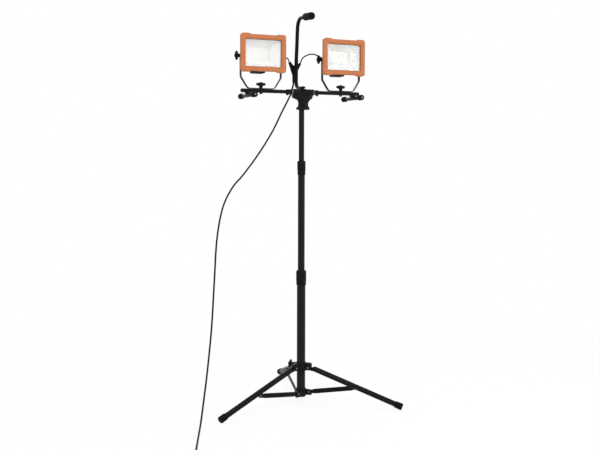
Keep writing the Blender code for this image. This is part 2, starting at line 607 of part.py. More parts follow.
# ---- Lamps ----------------------------------------------------------------------------------
def frame_outline(width, height, radius, drop):
    """A lamp frame's outline. Its top and bottom edges step in by drop between corner pads."""
    points = []
    steps = 2
    inner_x = width / 2 - PAD_LENGTH
    for k, (sx, sy) in enumerate([(1, -1), (1, 1), (-1, 1), (-1, -1)]):
        cx, cy = sx * (width / 2 - radius), sy * (height / 2 - radius)
        pad = [(sx * inner_x, sy * height / 2), (sx * (inner_x - 0.005), sy * (height / 2 - drop))]
        arc = []
        for i in range(steps + 1):
            a = math.radians(90 * (k - 1) + 90 * i / steps)
            arc.append((cx + radius * math.cos(a), cy + radius * math.sin(a)))
        points += list(reversed(pad)) + arc if k % 2 == 0 else arc + pad
    return points


def bezel_mesh():
    """The orange frame: a padded rim, a sloped lip round the window, and a seat for the glass."""
    front, back = FRAME_FRONT, FRAME_BACK
    seat_w, seat_h = WINDOW_W + 0.0066, WINDOW_H + 0.0066
    rows = [
        (back, FRAME_W - 0.0016, FRAME_H - 0.0016, FRAME_CORNER, PAD_RISE),
        (back - 0.0012, FRAME_W, FRAME_H, FRAME_CORNER, PAD_RISE),
        (front + 0.0042, FRAME_W, FRAME_H, FRAME_CORNER, PAD_RISE),
        (front + 0.0012, FRAME_W - 0.0022, FRAME_H - 0.0022, FRAME_CORNER - 0.001, PAD_RISE),
        (front, FRAME_W - 0.0066, FRAME_H - 0.0066, FRAME_CORNER - 0.003, PAD_RISE * 0.9),
        (front, WINDOW_W + 0.0090, WINDOW_H + 0.0090, 0.0060, 0.0),
        (front + 0.0030, WINDOW_W, WINDOW_H, 0.0040, 0.0),
        (front + 0.0086, WINDOW_W, WINDOW_H, 0.0040, 0.0),
        (front + 0.0086, seat_w, seat_h, 0.0050, 0.0),
        (back, seat_w, seat_h, 0.0050, 0.0),
    ]
    rings = [upright(frame_outline(w, h, r, drop), y, LAMP_MID) for y, w, h, r, drop in rows]
    return loft(rings, loop=True)


def glass_mesh():
    outline = rounded_outline(WINDOW_W + 0.0058, WINDOW_H + 0.0058, 0.0046)
    y0 = FRAME_FRONT + 0.0090
    return loft([upright(outline, y, LAMP_MID) for y in (y0, y0 + 0.0040)])


def reflector_mesh():
    """A thin four-sided tray that slopes from the glass to the LED board."""
    front, back, wall = FRAME_FRONT + 0.0135, 0.0050, 0.0009
    rows = [(back, 0.0760, 0.0500), (front, 0.1470, 0.1000),
            (front, 0.1470 + 2 * wall, 0.1000 + 2 * wall), (back, 0.0760 + 2 * wall, 0.0500 + 2 * wall)]
    return loft([upright(rounded_outline(w, h, 0.002, 1), y, LAMP_MID) for y, w, h in rows],
                loop=True)


def led_board_mesh():
    """The LED board with its raised field of chips."""
    rows = [(0.0082, 0.0840, 0.0580), (0.0060, 0.0840, 0.0580), (0.0060, 0.0460, 0.0300),
            (0.0050, 0.0450, 0.0290)]
    return loft([upright(rounded_outline(w, h, 0.002, 1), y, LAMP_MID) for y, w, h in rows])


def housing_mesh():
    """A cast tray behind the frame: a flange, drafted walls, and a deep pocket for the optics."""
    front, mouth = FRAME_BACK + CLEAR, (0.1510, 0.1040, 0.003)
    rows = [
        (0.0086, 0.1510, 0.1040, 0.003), (front, *mouth),
        (front, HOUSING_W, HOUSING_H, 0.0080), (front + 0.0046, HOUSING_W, HOUSING_H, 0.0080),
        (front + 0.0054, HOUSING_W - 0.004, HOUSING_H - 0.008, 0.0080),
        (HOUSING_BACK - 0.003, HOUSING_W - 0.0110, HOUSING_H - 0.0180, 0.0070),
        (HOUSING_BACK, HOUSING_W - 0.0170, HOUSING_H - 0.0240, 0.0060),
    ]
    rings = [upright(rounded_outline(w, h, r, 2), y, LAMP_MID) for y, w, h, r in rows]
    return loft(rings)


def fins_mesh():
    """The cooling fins as one comb, with a bare field in the middle for the terminal box."""
    half = FIN_COUNT / 2
    places = [(i + 0.5 - half) * FIN_PITCH for i in range(FIN_COUNT)]
    root, base = HOUSING_BACK - 0.0030, HOUSING_BACK - 0.0004
    outline = [(places[0] - FIN_THICK, root)]
    for x in places:
        tip = FIN_BACK - 0.0060 * (abs(x) / (half * FIN_PITCH)) ** 2
        if abs(x) < BOX_HALF + 0.001:
            continue
        outline += [(x - FIN_THICK / 2, base), (x - FIN_THICK * 0.32, tip),
                    (x + FIN_THICK * 0.32, tip), (x + FIN_THICK / 2, base)]
    outline.append((places[-1] + FIN_THICK, root))
    rows = [(LAMP_MID - 0.0490, 0.45), (LAMP_MID - 0.0400, 1.0), (LAMP_MID + 0.0400, 1.0),
            (LAMP_MID + 0.0490, 0.45)]
    return loft([[(x, root + (y - root) * tall, z) for x, y in outline] for z, tall in rows])


def terminal_box_mesh():
    """The lidded box on the housing's back that the lead enters."""
    wide, tall, edge = BOX_HALF * 2, 0.0840, BOX_BACK - 0.0060
    rows = [(HOUSING_BACK + CLEAR, wide, tall, 0.004), (edge, wide, tall, 0.004),
            (edge + 0.0006, wide + 0.002, tall + 0.002, 0.005),
            (BOX_BACK - 0.0012, wide + 0.002, tall + 0.002, 0.005),
            (BOX_BACK, wide - 0.001, tall - 0.001, 0.004)]
    return loft([upright(rounded_outline(w, h, r), y, BOX_Z) for y, w, h, r in rows])


def gland_mesh():
    """A cable gland: a stub, a nut and a domed cap round the lead, along +X."""
    rows = [(0.0066, 0.0), (0.0066, 0.0022), (0.0076, 0.0024), (0.0076, 0.0086), (0.0066, 0.0090),
            (0.0066, 0.0130), (0.0056, 0.0168), (0.0044, 0.0180)]
    return along_x(turned(rows, 10))


def wing_ring(span, waist, thick, z, count=16):
    """A ring across a wing knob: two wings along X, joined by a round waist."""
    points = []
    for i in range(count):
        a = 2 * math.pi * i / count
        c, s = math.cos(a), math.sin(a)
        wing = abs(c) ** 5
        points.append(((waist + (span - waist) * wing) * c, (waist + (thick - waist) * wing) * s, z))
    return points


def wing_knob_mesh(bolt_from, base, span, bore=0.0):
    """A wing knob about Z. It has a bolt from bolt_from up to its base, or a blind bore."""
    stem = 0.0072
    rings = []
    if bore:
        rings += [circle(bore, base + 0.0130, 16), circle(bore, base, 16)]
    else:
        rings += [circle(0.0024, bolt_from - 0.0010, 16), circle(0.0030, bolt_from, 16),
                  circle(0.0030, base, 16)]
    rings += [
        circle(stem - 0.0005, base, 16), circle(stem, base + 0.0006, 16),
        circle(stem, base + 0.0070, 16), wing_ring(span * 0.62, stem, 0.0052, base + 0.0090),
        wing_ring(span, 0.0080, 0.0050, base + 0.0125),
        wing_ring(span, 0.0080, 0.0044, base + 0.0180),
        wing_ring(span * 0.80, 0.0075, 0.0036, base + 0.0200),
        wing_ring(0.0068, 0.0066, 0.0060, base + 0.0218), circle(0.0046, base + 0.0230, 16),
    ]
    return loft(rings)


def bracket_path():
    """Half of the U bracket's middle line, from its foot to its arm's end, as (x, z)."""
    foot_z = BRACKET_FOOT - PIVOT_UP
    knee_z = 0.0535 - PIVOT_UP
    return [(0.0, foot_z), (0.0500, foot_z), (0.0560, foot_z + 0.0012), (0.0600, foot_z + 0.0052),
            (ARM_HALF - 0.0022, knee_z - 0.0040), (ARM_HALF - 0.0004, knee_z - 0.0005),
            (ARM_HALF, knee_z + 0.0035), (ARM_HALF, -0.004), (ARM_HALF, 0.0040),
            (ARM_HALF, 0.0068), (ARM_HALF, 0.0080)]


def bracket_mesh():
    """A bent flat strip with round arm ends."""
    half = bracket_path()
    widths = [ARM_WIDTH / 2] * (len(half) - 3) + [0.0064, 0.0040, 0.0015]
    path = [(-x, z, w) for (x, z), w in zip(reversed(half), reversed(widths))]
    path += [(x, z, w) for (x, z), w in zip(half, widths)][1:]
    rings = []
    for i, (x, z, w) in enumerate(path):
        before, after = path[max(i - 1, 0)], path[min(i + 1, len(path) - 1)]
        ahead = Vector((after[0] - before[0], 0, after[1] - before[1])).normalized()
        over = Vector((-ahead.z, 0, ahead.x)) * ARM_THICK / 2
        middle = Vector((x, 0, z))
        wide = Vector((0, w, 0))
        rings.append([middle - over - wide, middle - over + wide, middle + over + wide,
                      middle + over - wide])
    return loft(rings)


def lamp(where, side, swivel, shared):
    """A lamp with its bracket, knobs and bolt. side is -1 on the left and 1 on the right."""
    stud = empty(f"bracket_{where}_swivel", (side * LAMP_X, 0, BAR_Z - NECK_Z), parent=swivel)
    tilt = empty(f"lamp_{where}_tilt", (0, 0, PIVOT_UP), parent=stud)
    builders = {
        "bezel": (bezel_mesh, ORANGE_PLASTIC), "glass": (glass_mesh, GLASS),
        "reflector": (reflector_mesh, REFLECTOR), "led_board": (led_board_mesh, LED),
        "terminal_box": (terminal_box_mesh, BLACK_CAST),
    }
    for name, (build, finish) in builders.items():
        made = part(f"{name}_{where}", shared.get(name) or build(), finish, tilt)
        shared[name] = made.data
    housing = part(f"housing_{where}", shared.get("housing") or housing_mesh(), BLACK_CAST, tilt)
    shared["housing"] = housing.data
    combine(housing, f"housing_{where}_fins", fins_mesh(), "UNION")
    for end in (-1, 1):
        tip = end * (ARM_HALF - ARM_THICK / 2 - 0.0004)
        boss = turned([(0.0100, end * 0.0760), (0.0088, tip)], 12)
        combine(housing, f"housing_{where}_boss_{end}", along_x(boss), "UNION")
    thread = turned([(0.0034, -0.0900), (0.0034, -0.0772)], 12)
    combine(housing, f"housing_{where}_thread", along_x(thread), "DIFFERENCE")
    inward = 0.0 if side < 0 else math.pi
    part(f"gland_{where}", gland_mesh(), BLACK_PLASTIC, tilt,
         (-side * (BOX_HALF + CLEAR), GLAND_Y, GLAND_Z), (0, 0, inward))
    part(f"tilt_knob_{where}", wing_knob_mesh(0.0788, ARM_HALF + ARM_THICK / 2 + 0.0004, 0.0178),
         BLACK_PLASTIC, tilt, rotation=(0, -math.pi / 2, 0))
    bracket = part(f"bracket_{where}", shared.get("bracket") or bracket_mesh(), BLACK_PAINT, stud,
                   (0, 0, PIVOT_UP))
    shared["bracket"] = bracket.data
    arm_hole = turned([(0.0034, -0.0950), (0.0034, -0.0750)], 12)
    combine(bracket, f"bracket_{where}_arm_hole", along_x(arm_hole), "DIFFERENCE")
    foot_hole = turned([(0.0034, -PIVOT_UP - 0.010), (0.0034, -PIVOT_UP + 0.030)], 12)
    combine(bracket, f"bracket_{where}_foot_hole", foot_hole, "DIFFERENCE")
    head = BAR_R + 0.0004
    bolt = [(0.0042, -head - 0.0048), (0.0062, -head - 0.0036), (0.0062, -head), (0.0029, -head),
            (0.0029, 0.0225), (0.0022, 0.0235)]
    part(f"bracket_bolt_{where}", turned(bolt, 8), BLACK_PAINT, stud)
    base = BRACKET_FOOT + ARM_THICK / 2 + 0.0004
    part(f"bracket_knob_{where}", wing_knob_mesh(0.0, base, 0.0205, bore=0.0033), BLACK_PLASTIC,
         stud)


# ---- Cords ----------------------------------------------------------------------------------
def smooth_route(points, step):
    """Points at an even step along one smooth curve through the route's own points."""
    knots = [Vector(p) for p in points]
    knots = [2 * knots[0] - knots[1]] + knots + [2 * knots[-1] - knots[-2]]
    fine = []
    for a, b, c, d in zip(knots, knots[1:], knots[2:], knots[3:]):
        for i in range(24):
            t = i / 24
            fine.append(0.5 * (2 * b + (c - a) * t + (2 * a - 5 * b + 4 * c - d) * t**2
                               + (3 * b - a - 3 * c + d) * t**3))
    fine.append(knots[-2])
    along = np.concatenate([[0.0], np.cumsum([(q - p).length for p, q in zip(fine, fine[1:])])])
    count = max(int(round(along[-1] / step)), 2)
    even = np.linspace(0, along[-1], count + 1)
    columns = [np.interp(even, along, [p[k] for p in fine]) for k in range(3)]
    return [tuple(map(float, p)) for p in zip(*columns)], float(along[-1])


def cord(name, points, diameter, resolution, parent):
    """A round cord along points, as a bevelled curve with filled caps."""
    curve = bpy.data.curves.new(name, "CURVE")
    curve.dimensions = "3D"
    curve.bevel_depth = diameter / 2
    curve.bevel_resolution = resolution
    curve.resolution_u = 1
    curve.render_resolution_u = 0
    curve.use_fill_caps = True
    spline = curve.splines.new("POLY")
    spline.points.add(len(points) - 1)
    for point, place in zip(spline.points, points):
        point.co = (*place, 1.0)
    curve.materials.append(material(CORD))
    made = bpy.data.objects.new(name, curve)
    bpy.context.collection.objects.link(made)
    made.parent = parent


def coil_route():
    """The put-away length: it winds in on the floor, climbs a layer, winds out, and runs off
    to the plug. The last points are a short tail."""
    per_turn = 24
    count = int(COIL_TURNS * per_turn)
    centre = Vector((*COIL_PLACE, 0))
    inner = COIL_RADIUS - COIL_STEP * COIL_TURNS / 2
    outer = COIL_RADIUS + COIL_STEP * COIL_TURNS / 2
    low = MAINS_D / 2 + 0.0003
    start = math.radians(COIL_START)
    points = []
    for i in range(count + 1):
        share = i / count
        a = start + 2 * math.pi * COIL_TURNS * share
        r = outer + (inner - outer) * share
        points.append(centre + Vector((r * math.cos(a), r * math.sin(a), low)))
    climb = per_turn // 2
    turned_in = start + 2 * math.pi * COIL_TURNS
    for i in range(1, climb):
        a = turned_in + 2 * math.pi * i / per_turn
        z = low + COIL_LAYER * (0.5 - 0.5 * math.cos(math.pi * i / climb))
        r = inner - 0.0016 * math.sin(math.pi * i / climb)
        points.append(centre + Vector((r * math.cos(a), r * math.sin(a), z)))
    turned_up = turned_in + math.pi
    for i in range(count + 1):
        share = i / count
        a = turned_up + 2 * math.pi * COIL_TURNS * share
        r = inner + (outer - inner) * share
        points.append(centre + Vector((r * math.cos(a), r * math.sin(a), low + COIL_LAYER)))
    end = points[-1]
    ahead = (end - points[-2])
    ahead.z = 0
    ahead.normalize()
    rise = PLUG_AXIS_Z - end.z
    for i in range(1, 6):
        share = i / 5
        z = end.z + rise * (0.5 - 0.5 * math.cos(math.pi * min(share * 1.25, 1.0)))
        place = end + ahead * (PLUG_TAIL * share)
        points.append(Vector((place.x, place.y, z)))
    return points, ahead


def least_gap(points, diameter):
    """The least distance between a tube's surfaces where it passes itself."""
    place = np.array([tuple(p) for p in points])
    fine = np.concatenate([place[:-1] + (place[1:] - place[:-1]) * t for t in (0, 0.25, 0.5, 0.75)])
    order = np.concatenate([np.arange(len(place) - 1) + t for t in (0, 0.25, 0.5, 0.75)])
    apart = np.linalg.norm(fine[:, None] - fine[None], axis=2)
    apart[np.abs(order[:, None] - order[None]) < 8] = 9.0
    return float(apart.min() - diameter)


def plug_mesh():
    """A round moulded plug with two pins along +X. Its cord enters at x = 0."""
    rows = [(0.0048, 0.0), (0.0058, 0.0180), (0.0100, 0.0220), (0.0165, 0.0300),
            (0.0190, 0.0400), (0.0195, 0.0560), (0.0185, 0.0580)]
    return along_x(turned(rows, 16))


def cords(stand):
    """The two lamp leads, the mains lead down to the floor, its coil and its plug."""
    for name, route in (("lead_left", LEAD_LEFT), ("lead_right", LEAD_RIGHT)):
        points, _ = smooth_route(route, 0.0125)
        cord(name, points, LEAD_D, 2, stand)
    coil_points, plug_way = coil_route()
    lead_in = (coil_points[0] - coil_points[1]).normalized()
    meeting = coil_points[0] + lead_in * (MAINS_D + CLEAR)
    coil_points.insert(0, coil_points[0] + lead_in * MAINS_D)
    approach = [tuple(meeting + lead_in * d) for d in (0.060, 0.030, 0.0)]
    route, length = smooth_route(MAINS_ROUTE + approach, 0.0240)
    route = [(x, y, max(z, MAINS_D / 2 + CLEAR)) for x, y, z in route]
    cord("mains_lead", route, MAINS_D, 2, stand)
    cord("mains_coil", [tuple(p) for p in coil_points], MAINS_D, 1, stand)
    wound = sum((b - a).length for a, b in zip(coil_points, coil_points[1:]))
    print(f"mains lead {length:.3f} m free and {wound:.3f} m wound")
    print(f"coil's least gap to itself {least_gap(coil_points, MAINS_D) * 1000:.2f} mm")
    turn = math.atan2(plug_way.y, plug_way.x)
    end = coil_points[-1] + plug_way * CLEAR
    plug = part("mains_plug", plug_mesh(), BLACK_PLASTIC, stand, end, (0, 0, turn))
    for side in (-1, 1):
        pin = turned([(0.0024, 0.0540), (0.0024, 0.0745), (0.0016, 0.0768)], 10)
        combine(plug, f"mains_plug_pin_{side}", moved(along_x(pin), y=side * 0.0095), "UNION")


def build():
    clear_scene()
    stand = empty("stand_axis", (*MAST, 0.0))
    tripod(stand)
    mast(stand)
    swivel = empty("head_swivel", (0, 0, NECK_Z), parent=stand)
    t_head(swivel)
    bar_collar("bar_collar_left", -0.0678, HEAD_X - HEAD_HALF - 0.0010, False, swivel)
    bar_collar("bar_collar_right", HEAD_X + HEAD_HALF + 0.0010, 0.0740, True, swivel)
    crossbar(swivel)
    cross_foot("left", -1, swivel)
    cross_foot("right", 1, swivel)
    handle(swivel)
    splitter(swivel)
    shared = {}
    lamp("left", -1, swivel, shared)
    lamp("right", 1, swivel, shared)
    cords(stand)


build()
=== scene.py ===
"""The looks of the twin lamp work light: camera, studio, materials, and the fine visible pieces."""

import math

import bmesh
import bpy
import numpy as np
from mathutils import Matrix, Vector


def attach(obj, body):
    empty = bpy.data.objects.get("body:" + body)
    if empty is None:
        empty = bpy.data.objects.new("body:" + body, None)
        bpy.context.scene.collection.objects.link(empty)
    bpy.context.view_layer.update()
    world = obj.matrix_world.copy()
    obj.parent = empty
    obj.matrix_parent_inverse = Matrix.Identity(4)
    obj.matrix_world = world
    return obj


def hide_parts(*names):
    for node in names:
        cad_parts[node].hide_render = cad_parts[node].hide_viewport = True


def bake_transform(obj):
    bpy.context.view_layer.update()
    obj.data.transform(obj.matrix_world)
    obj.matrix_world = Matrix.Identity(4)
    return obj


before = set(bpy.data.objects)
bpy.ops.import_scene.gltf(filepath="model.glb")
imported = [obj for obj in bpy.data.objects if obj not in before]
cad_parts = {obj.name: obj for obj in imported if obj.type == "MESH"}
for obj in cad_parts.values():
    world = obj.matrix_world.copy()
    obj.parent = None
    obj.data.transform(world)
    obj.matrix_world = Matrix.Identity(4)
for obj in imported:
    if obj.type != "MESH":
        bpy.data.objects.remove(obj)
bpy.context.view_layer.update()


def mm(rows, lengths=9):
    """Rows given in millimetres, in metres. Only a row's first numbers are lengths."""
    return [tuple(v / 1000 if i < lengths else v for i, v in enumerate(row)) for row in rows]


# ---- Dimensions in metres, as the frame has them --------------------------------------------
CLEAR = 0.0003
MAST = (0.04107, -0.06456)
BASE_TUBE_R, MID_TUBE_R, TOP_TUBE_R, TUBE_WALL = 0.0175, 0.014, 0.011, 0.0012
BASE_TUBE_Z, MID_TUBE_Z, TOP_TUBE_Z = (0.025, 0.520), (0.430, 0.958), (0.800, 1.236)
LOWER_LOCK_Z, LOWER_LOCK_R = (0.486, 0.546), 0.0218
UPPER_LOCK_Z, UPPER_LOCK_R = (0.936, 0.993), 0.0178
LEG_AZIMUTHS = {"right": -41.6, "left": -161.6, "rear": 78.4}
LEG_PIVOT_R, LEG_PIVOT_Z, BRACE_PIVOT_R, BRACE_PIVOT_Z = 0.030, 0.142, 0.030, 0.037
FOOT_R, FOOT_Z = 0.424, 0.011
LEG_R, LEG_LIFT = 0.011, 0.006
BRACE_ON_LEG, BRACE_SIDE = 0.2167, 0.014
RING_R, LEG_COLLAR_Z, BASE_COLLAR_Z = 0.0208, (0.128, 0.164), (0.021, 0.054)
CLAMP_AZIMUTH, CLAMP_LIFT = 138.4, 0.0085
BAR_Z, BAR_R, BAR_HALF = 1.268, 0.0075, 0.260
HEAD_X, HEAD_HALF, HOLDER_R, NECK_Z = 0.0031, 0.0441, 0.0125, 1.198
CLAMP_SCREW = (0.0196, 0.0, 0.0205)
CROSS_FOOT_X, CROSS_FOOT_HALF, CROSS_FOOT_R, CROSS_FOOT_DROP = 0.232, 0.078, 0.008, 0.0188
HANDLE_R, GRIP_R, GRIP_LENGTH, GRIP_REAR = 0.0075, 0.0145, 0.065, -0.0262
GRIP_FRONT_UP, GRIP_REAR_UP = 0.2893, 0.2936
LAMP_X, PIVOT_UP, LAMP_MID = 0.1765, 0.133, 0.0107
FRAME_W, FRAME_H, FRAME_CORNER, FRAME_FRONT, FRAME_BACK = 0.190, 0.148, 0.012, -0.0355, -0.0205
PAD_LENGTH, PAD_RISE = 0.034, 0.0036
WINDOW_W, WINDOW_H = 0.151, 0.104
HOUSING_W, HOUSING_H, HOUSING_BACK = 0.163, 0.130, 0.016
FIN_COUNT, FIN_PITCH, FIN_THICK, FIN_BACK = 12, 0.0126, 0.0026, 0.0298
ARM_HALF, ARM_THICK, ARM_WIDTH = 0.085, 0.0026, 0.015
BRACKET_FOOT = BAR_R + 0.0006 + ARM_THICK / 2
BOX_HALF, BOX_TALL, BOX_Z, BOX_BACK = 0.026, 0.084, -0.020, 0.052
GLAND_Y, GLAND_Z = 0.038, 0.006
LEAD_D, MAINS_D = 0.0052, 0.007
SPLITTER_FOOT_Z, SPLITTER_X, SPLITTER_Y, SPLITTER_LEAN = 0.047, -0.0025, 0.0735, 4.1
COIL_TURNS, COIL_RADIUS, COIL_STEP, COIL_LAYER = 2.40, 0.0385, 0.0078, 0.0079
COIL_PLACE, COIL_START = (-0.568, -0.508), 155.0
PLUG_AXIS_Z, PLUG_TAIL = 0.0198, 0.070
MID_JOIN_Z, TOP_JOIN_Z = 0.740, 1.080    # where the mains lead goes over to the next tube
LEAD_LEFT = mm([(-131.9, 38, 1407), (-112, 41, 1408.5), (-85, 56, 1413), (-56, 72, 1414.5),
                (-34, 76.2, 1410.5), (-25, 74.3, 1402.9), (-22.4, 73.5, 1394.9)])
LEAD_RIGHT = mm([(28.5, 73.5, 1391.3), (31.2, 72.7, 1398.9), (37.8, 70, 1412.5), (55.5, 66.5, 1423.8),
                 (70.8, 57.5, 1427.8), (85.8, 53, 1425.8), (100, 44, 1418), (115, 38.5, 1409.5),
                 (131.9, 38, 1407)])
MAINS_ROUTE = mm([(-2.9, 73.5, 1310), (-4.6, 74.2, 1298), (-14, 82.5, 1258), (-45.4, 100.6, 1186.5),
                  (-77, 106.5, 1121.3), (-115.9, 109.2, 1058.6), (-160.7, 110.2, 996.2),
                  (-216.5, 103.2, 931.7), (-262.5, 93.7, 885.9), (-312, 70, 810), (-349, 38, 690),
                  (-372, 7, 530), (-395, -23, 350), (-424, -53, 185), (-454, -92, 72),
                  (-479, -138, 19), (-500, -185, 3.8), (-545, -300, 3.8)])

SHIFT = Matrix.Translation
STAND = SHIFT((*MAST, 0.0))
HEAD = STAND @ SHIFT((0, 0, NECK_Z))
BAR = HEAD @ SHIFT((0, 0, BAR_Z - NECK_Z))


def turn(degrees, axis):
    return Matrix.Rotation(math.radians(degrees), 4, axis)


# ---- Camera and studio ----------------------------------------------------------------------
def camera():
    """The photograph's view: a 50 mm lens at 3.4 m, a little over half way up the stand."""
    yaw, pitch, roll = math.radians(-24.91), math.radians(-5.19), math.radians(0.12)
    ahead = Vector((-math.sin(yaw) * math.cos(pitch), math.cos(yaw) * math.cos(pitch), math.sin(pitch)))
    right = Vector((math.cos(yaw), math.sin(yaw), 0.0))
    up = right.cross(ahead)
    across = math.cos(roll) * right + math.sin(roll) * up
    over = math.cos(roll) * up - math.sin(roll) * right
    data = bpy.data.cameras.new("view")
    data.lens, data.sensor_width = 50.22, 36.0
    made = bpy.data.objects.new("view", data)
    bpy.context.scene.collection.objects.link(made)
    place = Matrix((across, over, -ahead)).transposed().to_4x4()
    place.translation = (MAST[0] - 1.43563, MAST[1] - 3.07873, 1.041)
    made.matrix_world = place
    bpy.context.scene.camera = made


def area_light(name, place, aim_z, size, power):
    data = bpy.data.lights.new(name, "AREA")
    data.shape, data.size, data.size_y = "RECTANGLE", *size
    data.energy = power
    made = bpy.data.objects.new(name, data)
    bpy.context.scene.collection.objects.link(made)
    made.location = place
    made.rotation_euler = (Vector((0, 0, aim_z)) - Vector(place)).to_track_quat("-Z", "Y").to_euler()


def seen_or_mirrored(tree):
    """1 for rays from the camera, from gloss and through glass, and 0 for light on the object."""
    path = tree.nodes.new("ShaderNodeLightPath")
    seen = path.outputs["Is Camera Ray"]
    for ray in ("Is Glossy Ray", "Is Transmission Ray"):
        either = tree.nodes.new("ShaderNodeMath")
        either.operation = "MAXIMUM"
        tree.links.new(seen, either.inputs[0])
        tree.links.new(path.outputs[ray], either.inputs[1])
        seen = either.outputs[0]
    return seen


def mixed_surface(tree, factor, first, second, output):
    blend, out = tree.nodes.new("ShaderNodeMixShader"), tree.nodes.new(output)
    for source, socket in zip((factor, first.outputs[0], second.outputs[0]), blend.inputs):
        tree.links.new(source, socket)
    tree.links.new(blend.outputs[0], out.inputs["Surface"])


def world_light(scene):
    """White where it is seen, and softer as light on the object."""
    world = bpy.data.worlds.new("studio")
    scene.world = world
    world.use_nodes = True
    tree = world.node_tree
    tree.nodes.clear()
    lit, shown = (tree.nodes.new("ShaderNodeBackground") for _ in range(2))
    for light, strength in ((lit, 0.60), (shown, 1.0)):
        light.inputs["Color"].default_value = (1.0, 1.0, 1.0, 1.0)
        light.inputs["Strength"].default_value = strength
    mixed_surface(tree, seen_or_mirrored(tree), lit, shown, "ShaderNodeOutputWorld")


def floor_sheet(scene):
    """A floor that keeps soft shadows near the stand and goes over to white further away."""
    bm = bmesh.new()
    bmesh.ops.create_grid(bm, x_segments=1, y_segments=1, size=14.0)
    data = bpy.data.meshes.new("floor")
    bm.to_mesh(data)
    bm.free()
    floor = bpy.data.objects.new("floor", data)
    scene.collection.objects.link(floor)
    mat = bpy.data.materials.new("floor")
    mat.use_nodes = True
    tree = mat.node_tree
    tree.nodes.clear()
    kinds = ("BsdfDiffuse", "Emission", "TexCoord", "VectorMath", "MapRange", "Math")
    matt, white, place, away, ease, share = (tree.nodes.new(f"ShaderNode{kind}") for kind in kinds)
    matt.inputs["Color"].default_value = (0.95, 0.95, 0.95, 1)
    away.operation, share.operation = "LENGTH", "MULTIPLY"
    for name, value in (("From Min", 0.9), ("From Max", 2.2), ("To Min", 0.88), ("To Max", 1.0)):
        ease.inputs[name].default_value = value
    tree.links.new(place.outputs["Object"], away.inputs[0])
    tree.links.new(away.outputs["Value"], ease.inputs["Value"])
    tree.links.new(seen_or_mirrored(tree), share.inputs[0])
    tree.links.new(ease.outputs["Result"], share.inputs[1])
    mixed_surface(tree, share.outputs[0], matt, white, "ShaderNodeOutputMaterial")
    data.materials.append(mat)


def studio():
    scene = bpy.context.scene
    scene.view_settings.view_transform = "Standard"
    world_light(scene)
    floor_sheet(scene)
    area_light("key", (-1.6, -2.6, 3.2), 0.9, (1.8, 1.8), 61)
    area_light("fill", (2.6, -2.2, 1.8), 0.9, (1.6, 2.2), 33)
    area_light("rim", (0.6, 2.4, 2.6), 1.0, (1.6, 1.6), 32)


camera()
studio()


# ---- Materials ------------------------------------------------------------------------------
class Surface:
    """A Principled material with a few helpers for its texture."""

    def __init__(self, name, colour, roughness, metallic=0.0, sheen=0.0, specular=0.5):
        self.mat = bpy.data.materials.new(name)
        self.mat.use_nodes = True
        self.nodes, self.links = self.mat.node_tree.nodes, self.mat.node_tree.links
        self.shader = self.nodes["Principled BSDF"]
        self.set(self.shader, {"Base Color": (*colour, 1.0), "Roughness": roughness, "Metallic": metallic,
                               "Sheen Weight": sheen, "Specular IOR Level": specular})
        self.colour = colour
        self.place = self.nodes.new("ShaderNodeTexCoord").outputs["Object"]

    def set(self, node, values):
        for name, value in values.items():
            node.inputs[name].default_value = value

    def noise(self, scale, detail=3.0, stretch=(1, 1, 1), rough=0.5):
        fit, made = self.nodes.new("ShaderNodeMapping"), self.nodes.new("ShaderNodeTexNoise")
        self.set(fit, {"Scale": stretch})
        self.set(made, {"Scale": scale, "Detail": detail, "Roughness": rough})
        self.links.new(self.place, fit.inputs["Vector"])
        self.links.new(fit.outputs[0], made.inputs["Vector"])
        return made.outputs["Fac"]

    def cells(self, scale):
        made = self.nodes.new("ShaderNodeTexVoronoi")
        self.set(made, {"Scale": scale})
        self.links.new(self.place, made.inputs["Vector"])
        return made.outputs["Distance"]

    def ramp(self, source, low, high, out_low, out_high):
        made = self.nodes.new("ShaderNodeMapRange")
        self.set(made, {"From Min": low, "From Max": high, "To Min": out_low, "To Max": out_high})
        self.links.new(source, made.inputs["Value"])
        return made.outputs["Result"]

    def tint(self, factor, other):
        """Mixes the base colour towards another one, where factor is 1."""
        mix = self.nodes.new("ShaderNodeMix")
        mix.data_type = "RGBA"
        already = self.shader.inputs["Base Color"].links
        if already:
            self.links.new(already[0].from_socket, mix.inputs["A"])
        else:
            mix.inputs["A"].default_value = (*self.colour, 1.0)
        mix.inputs["B"].default_value = (*other, 1.0)
        self.links.new(factor, mix.inputs["Factor"])
        self.links.new(mix.outputs["Result"], self.shader.inputs["Base Color"])
        return self

    def specks(self, source, low, high, amount, other):
        return self.tint(self.ramp(source, low, high, 0.0, amount), other)

    def rough(self, source, out_low, out_high):
        self.links.new(self.ramp(source, 0.35, 0.65, out_low, out_high), self.shader.inputs["Roughness"])
        return self

    def bump(self, source, strength, distance):
        made = self.nodes.new("ShaderNodeBump")
        self.set(made, {"Strength": strength, "Distance": distance})
        already = self.shader.inputs["Normal"].links
        if already:
            self.links.new(already[0].from_socket, made.inputs["Normal"])
        self.links.new(source, made.inputs["Height"])
        self.links.new(made.outputs[0], self.shader.inputs["Normal"])
        return self

    def worn(self, colour, amount):
        """Wear on sharp edges."""
        edge = self.nodes.new("ShaderNodeNewGeometry").outputs["Pointiness"]
        return self.specks(edge, 0.505, 0.60, amount, colour)


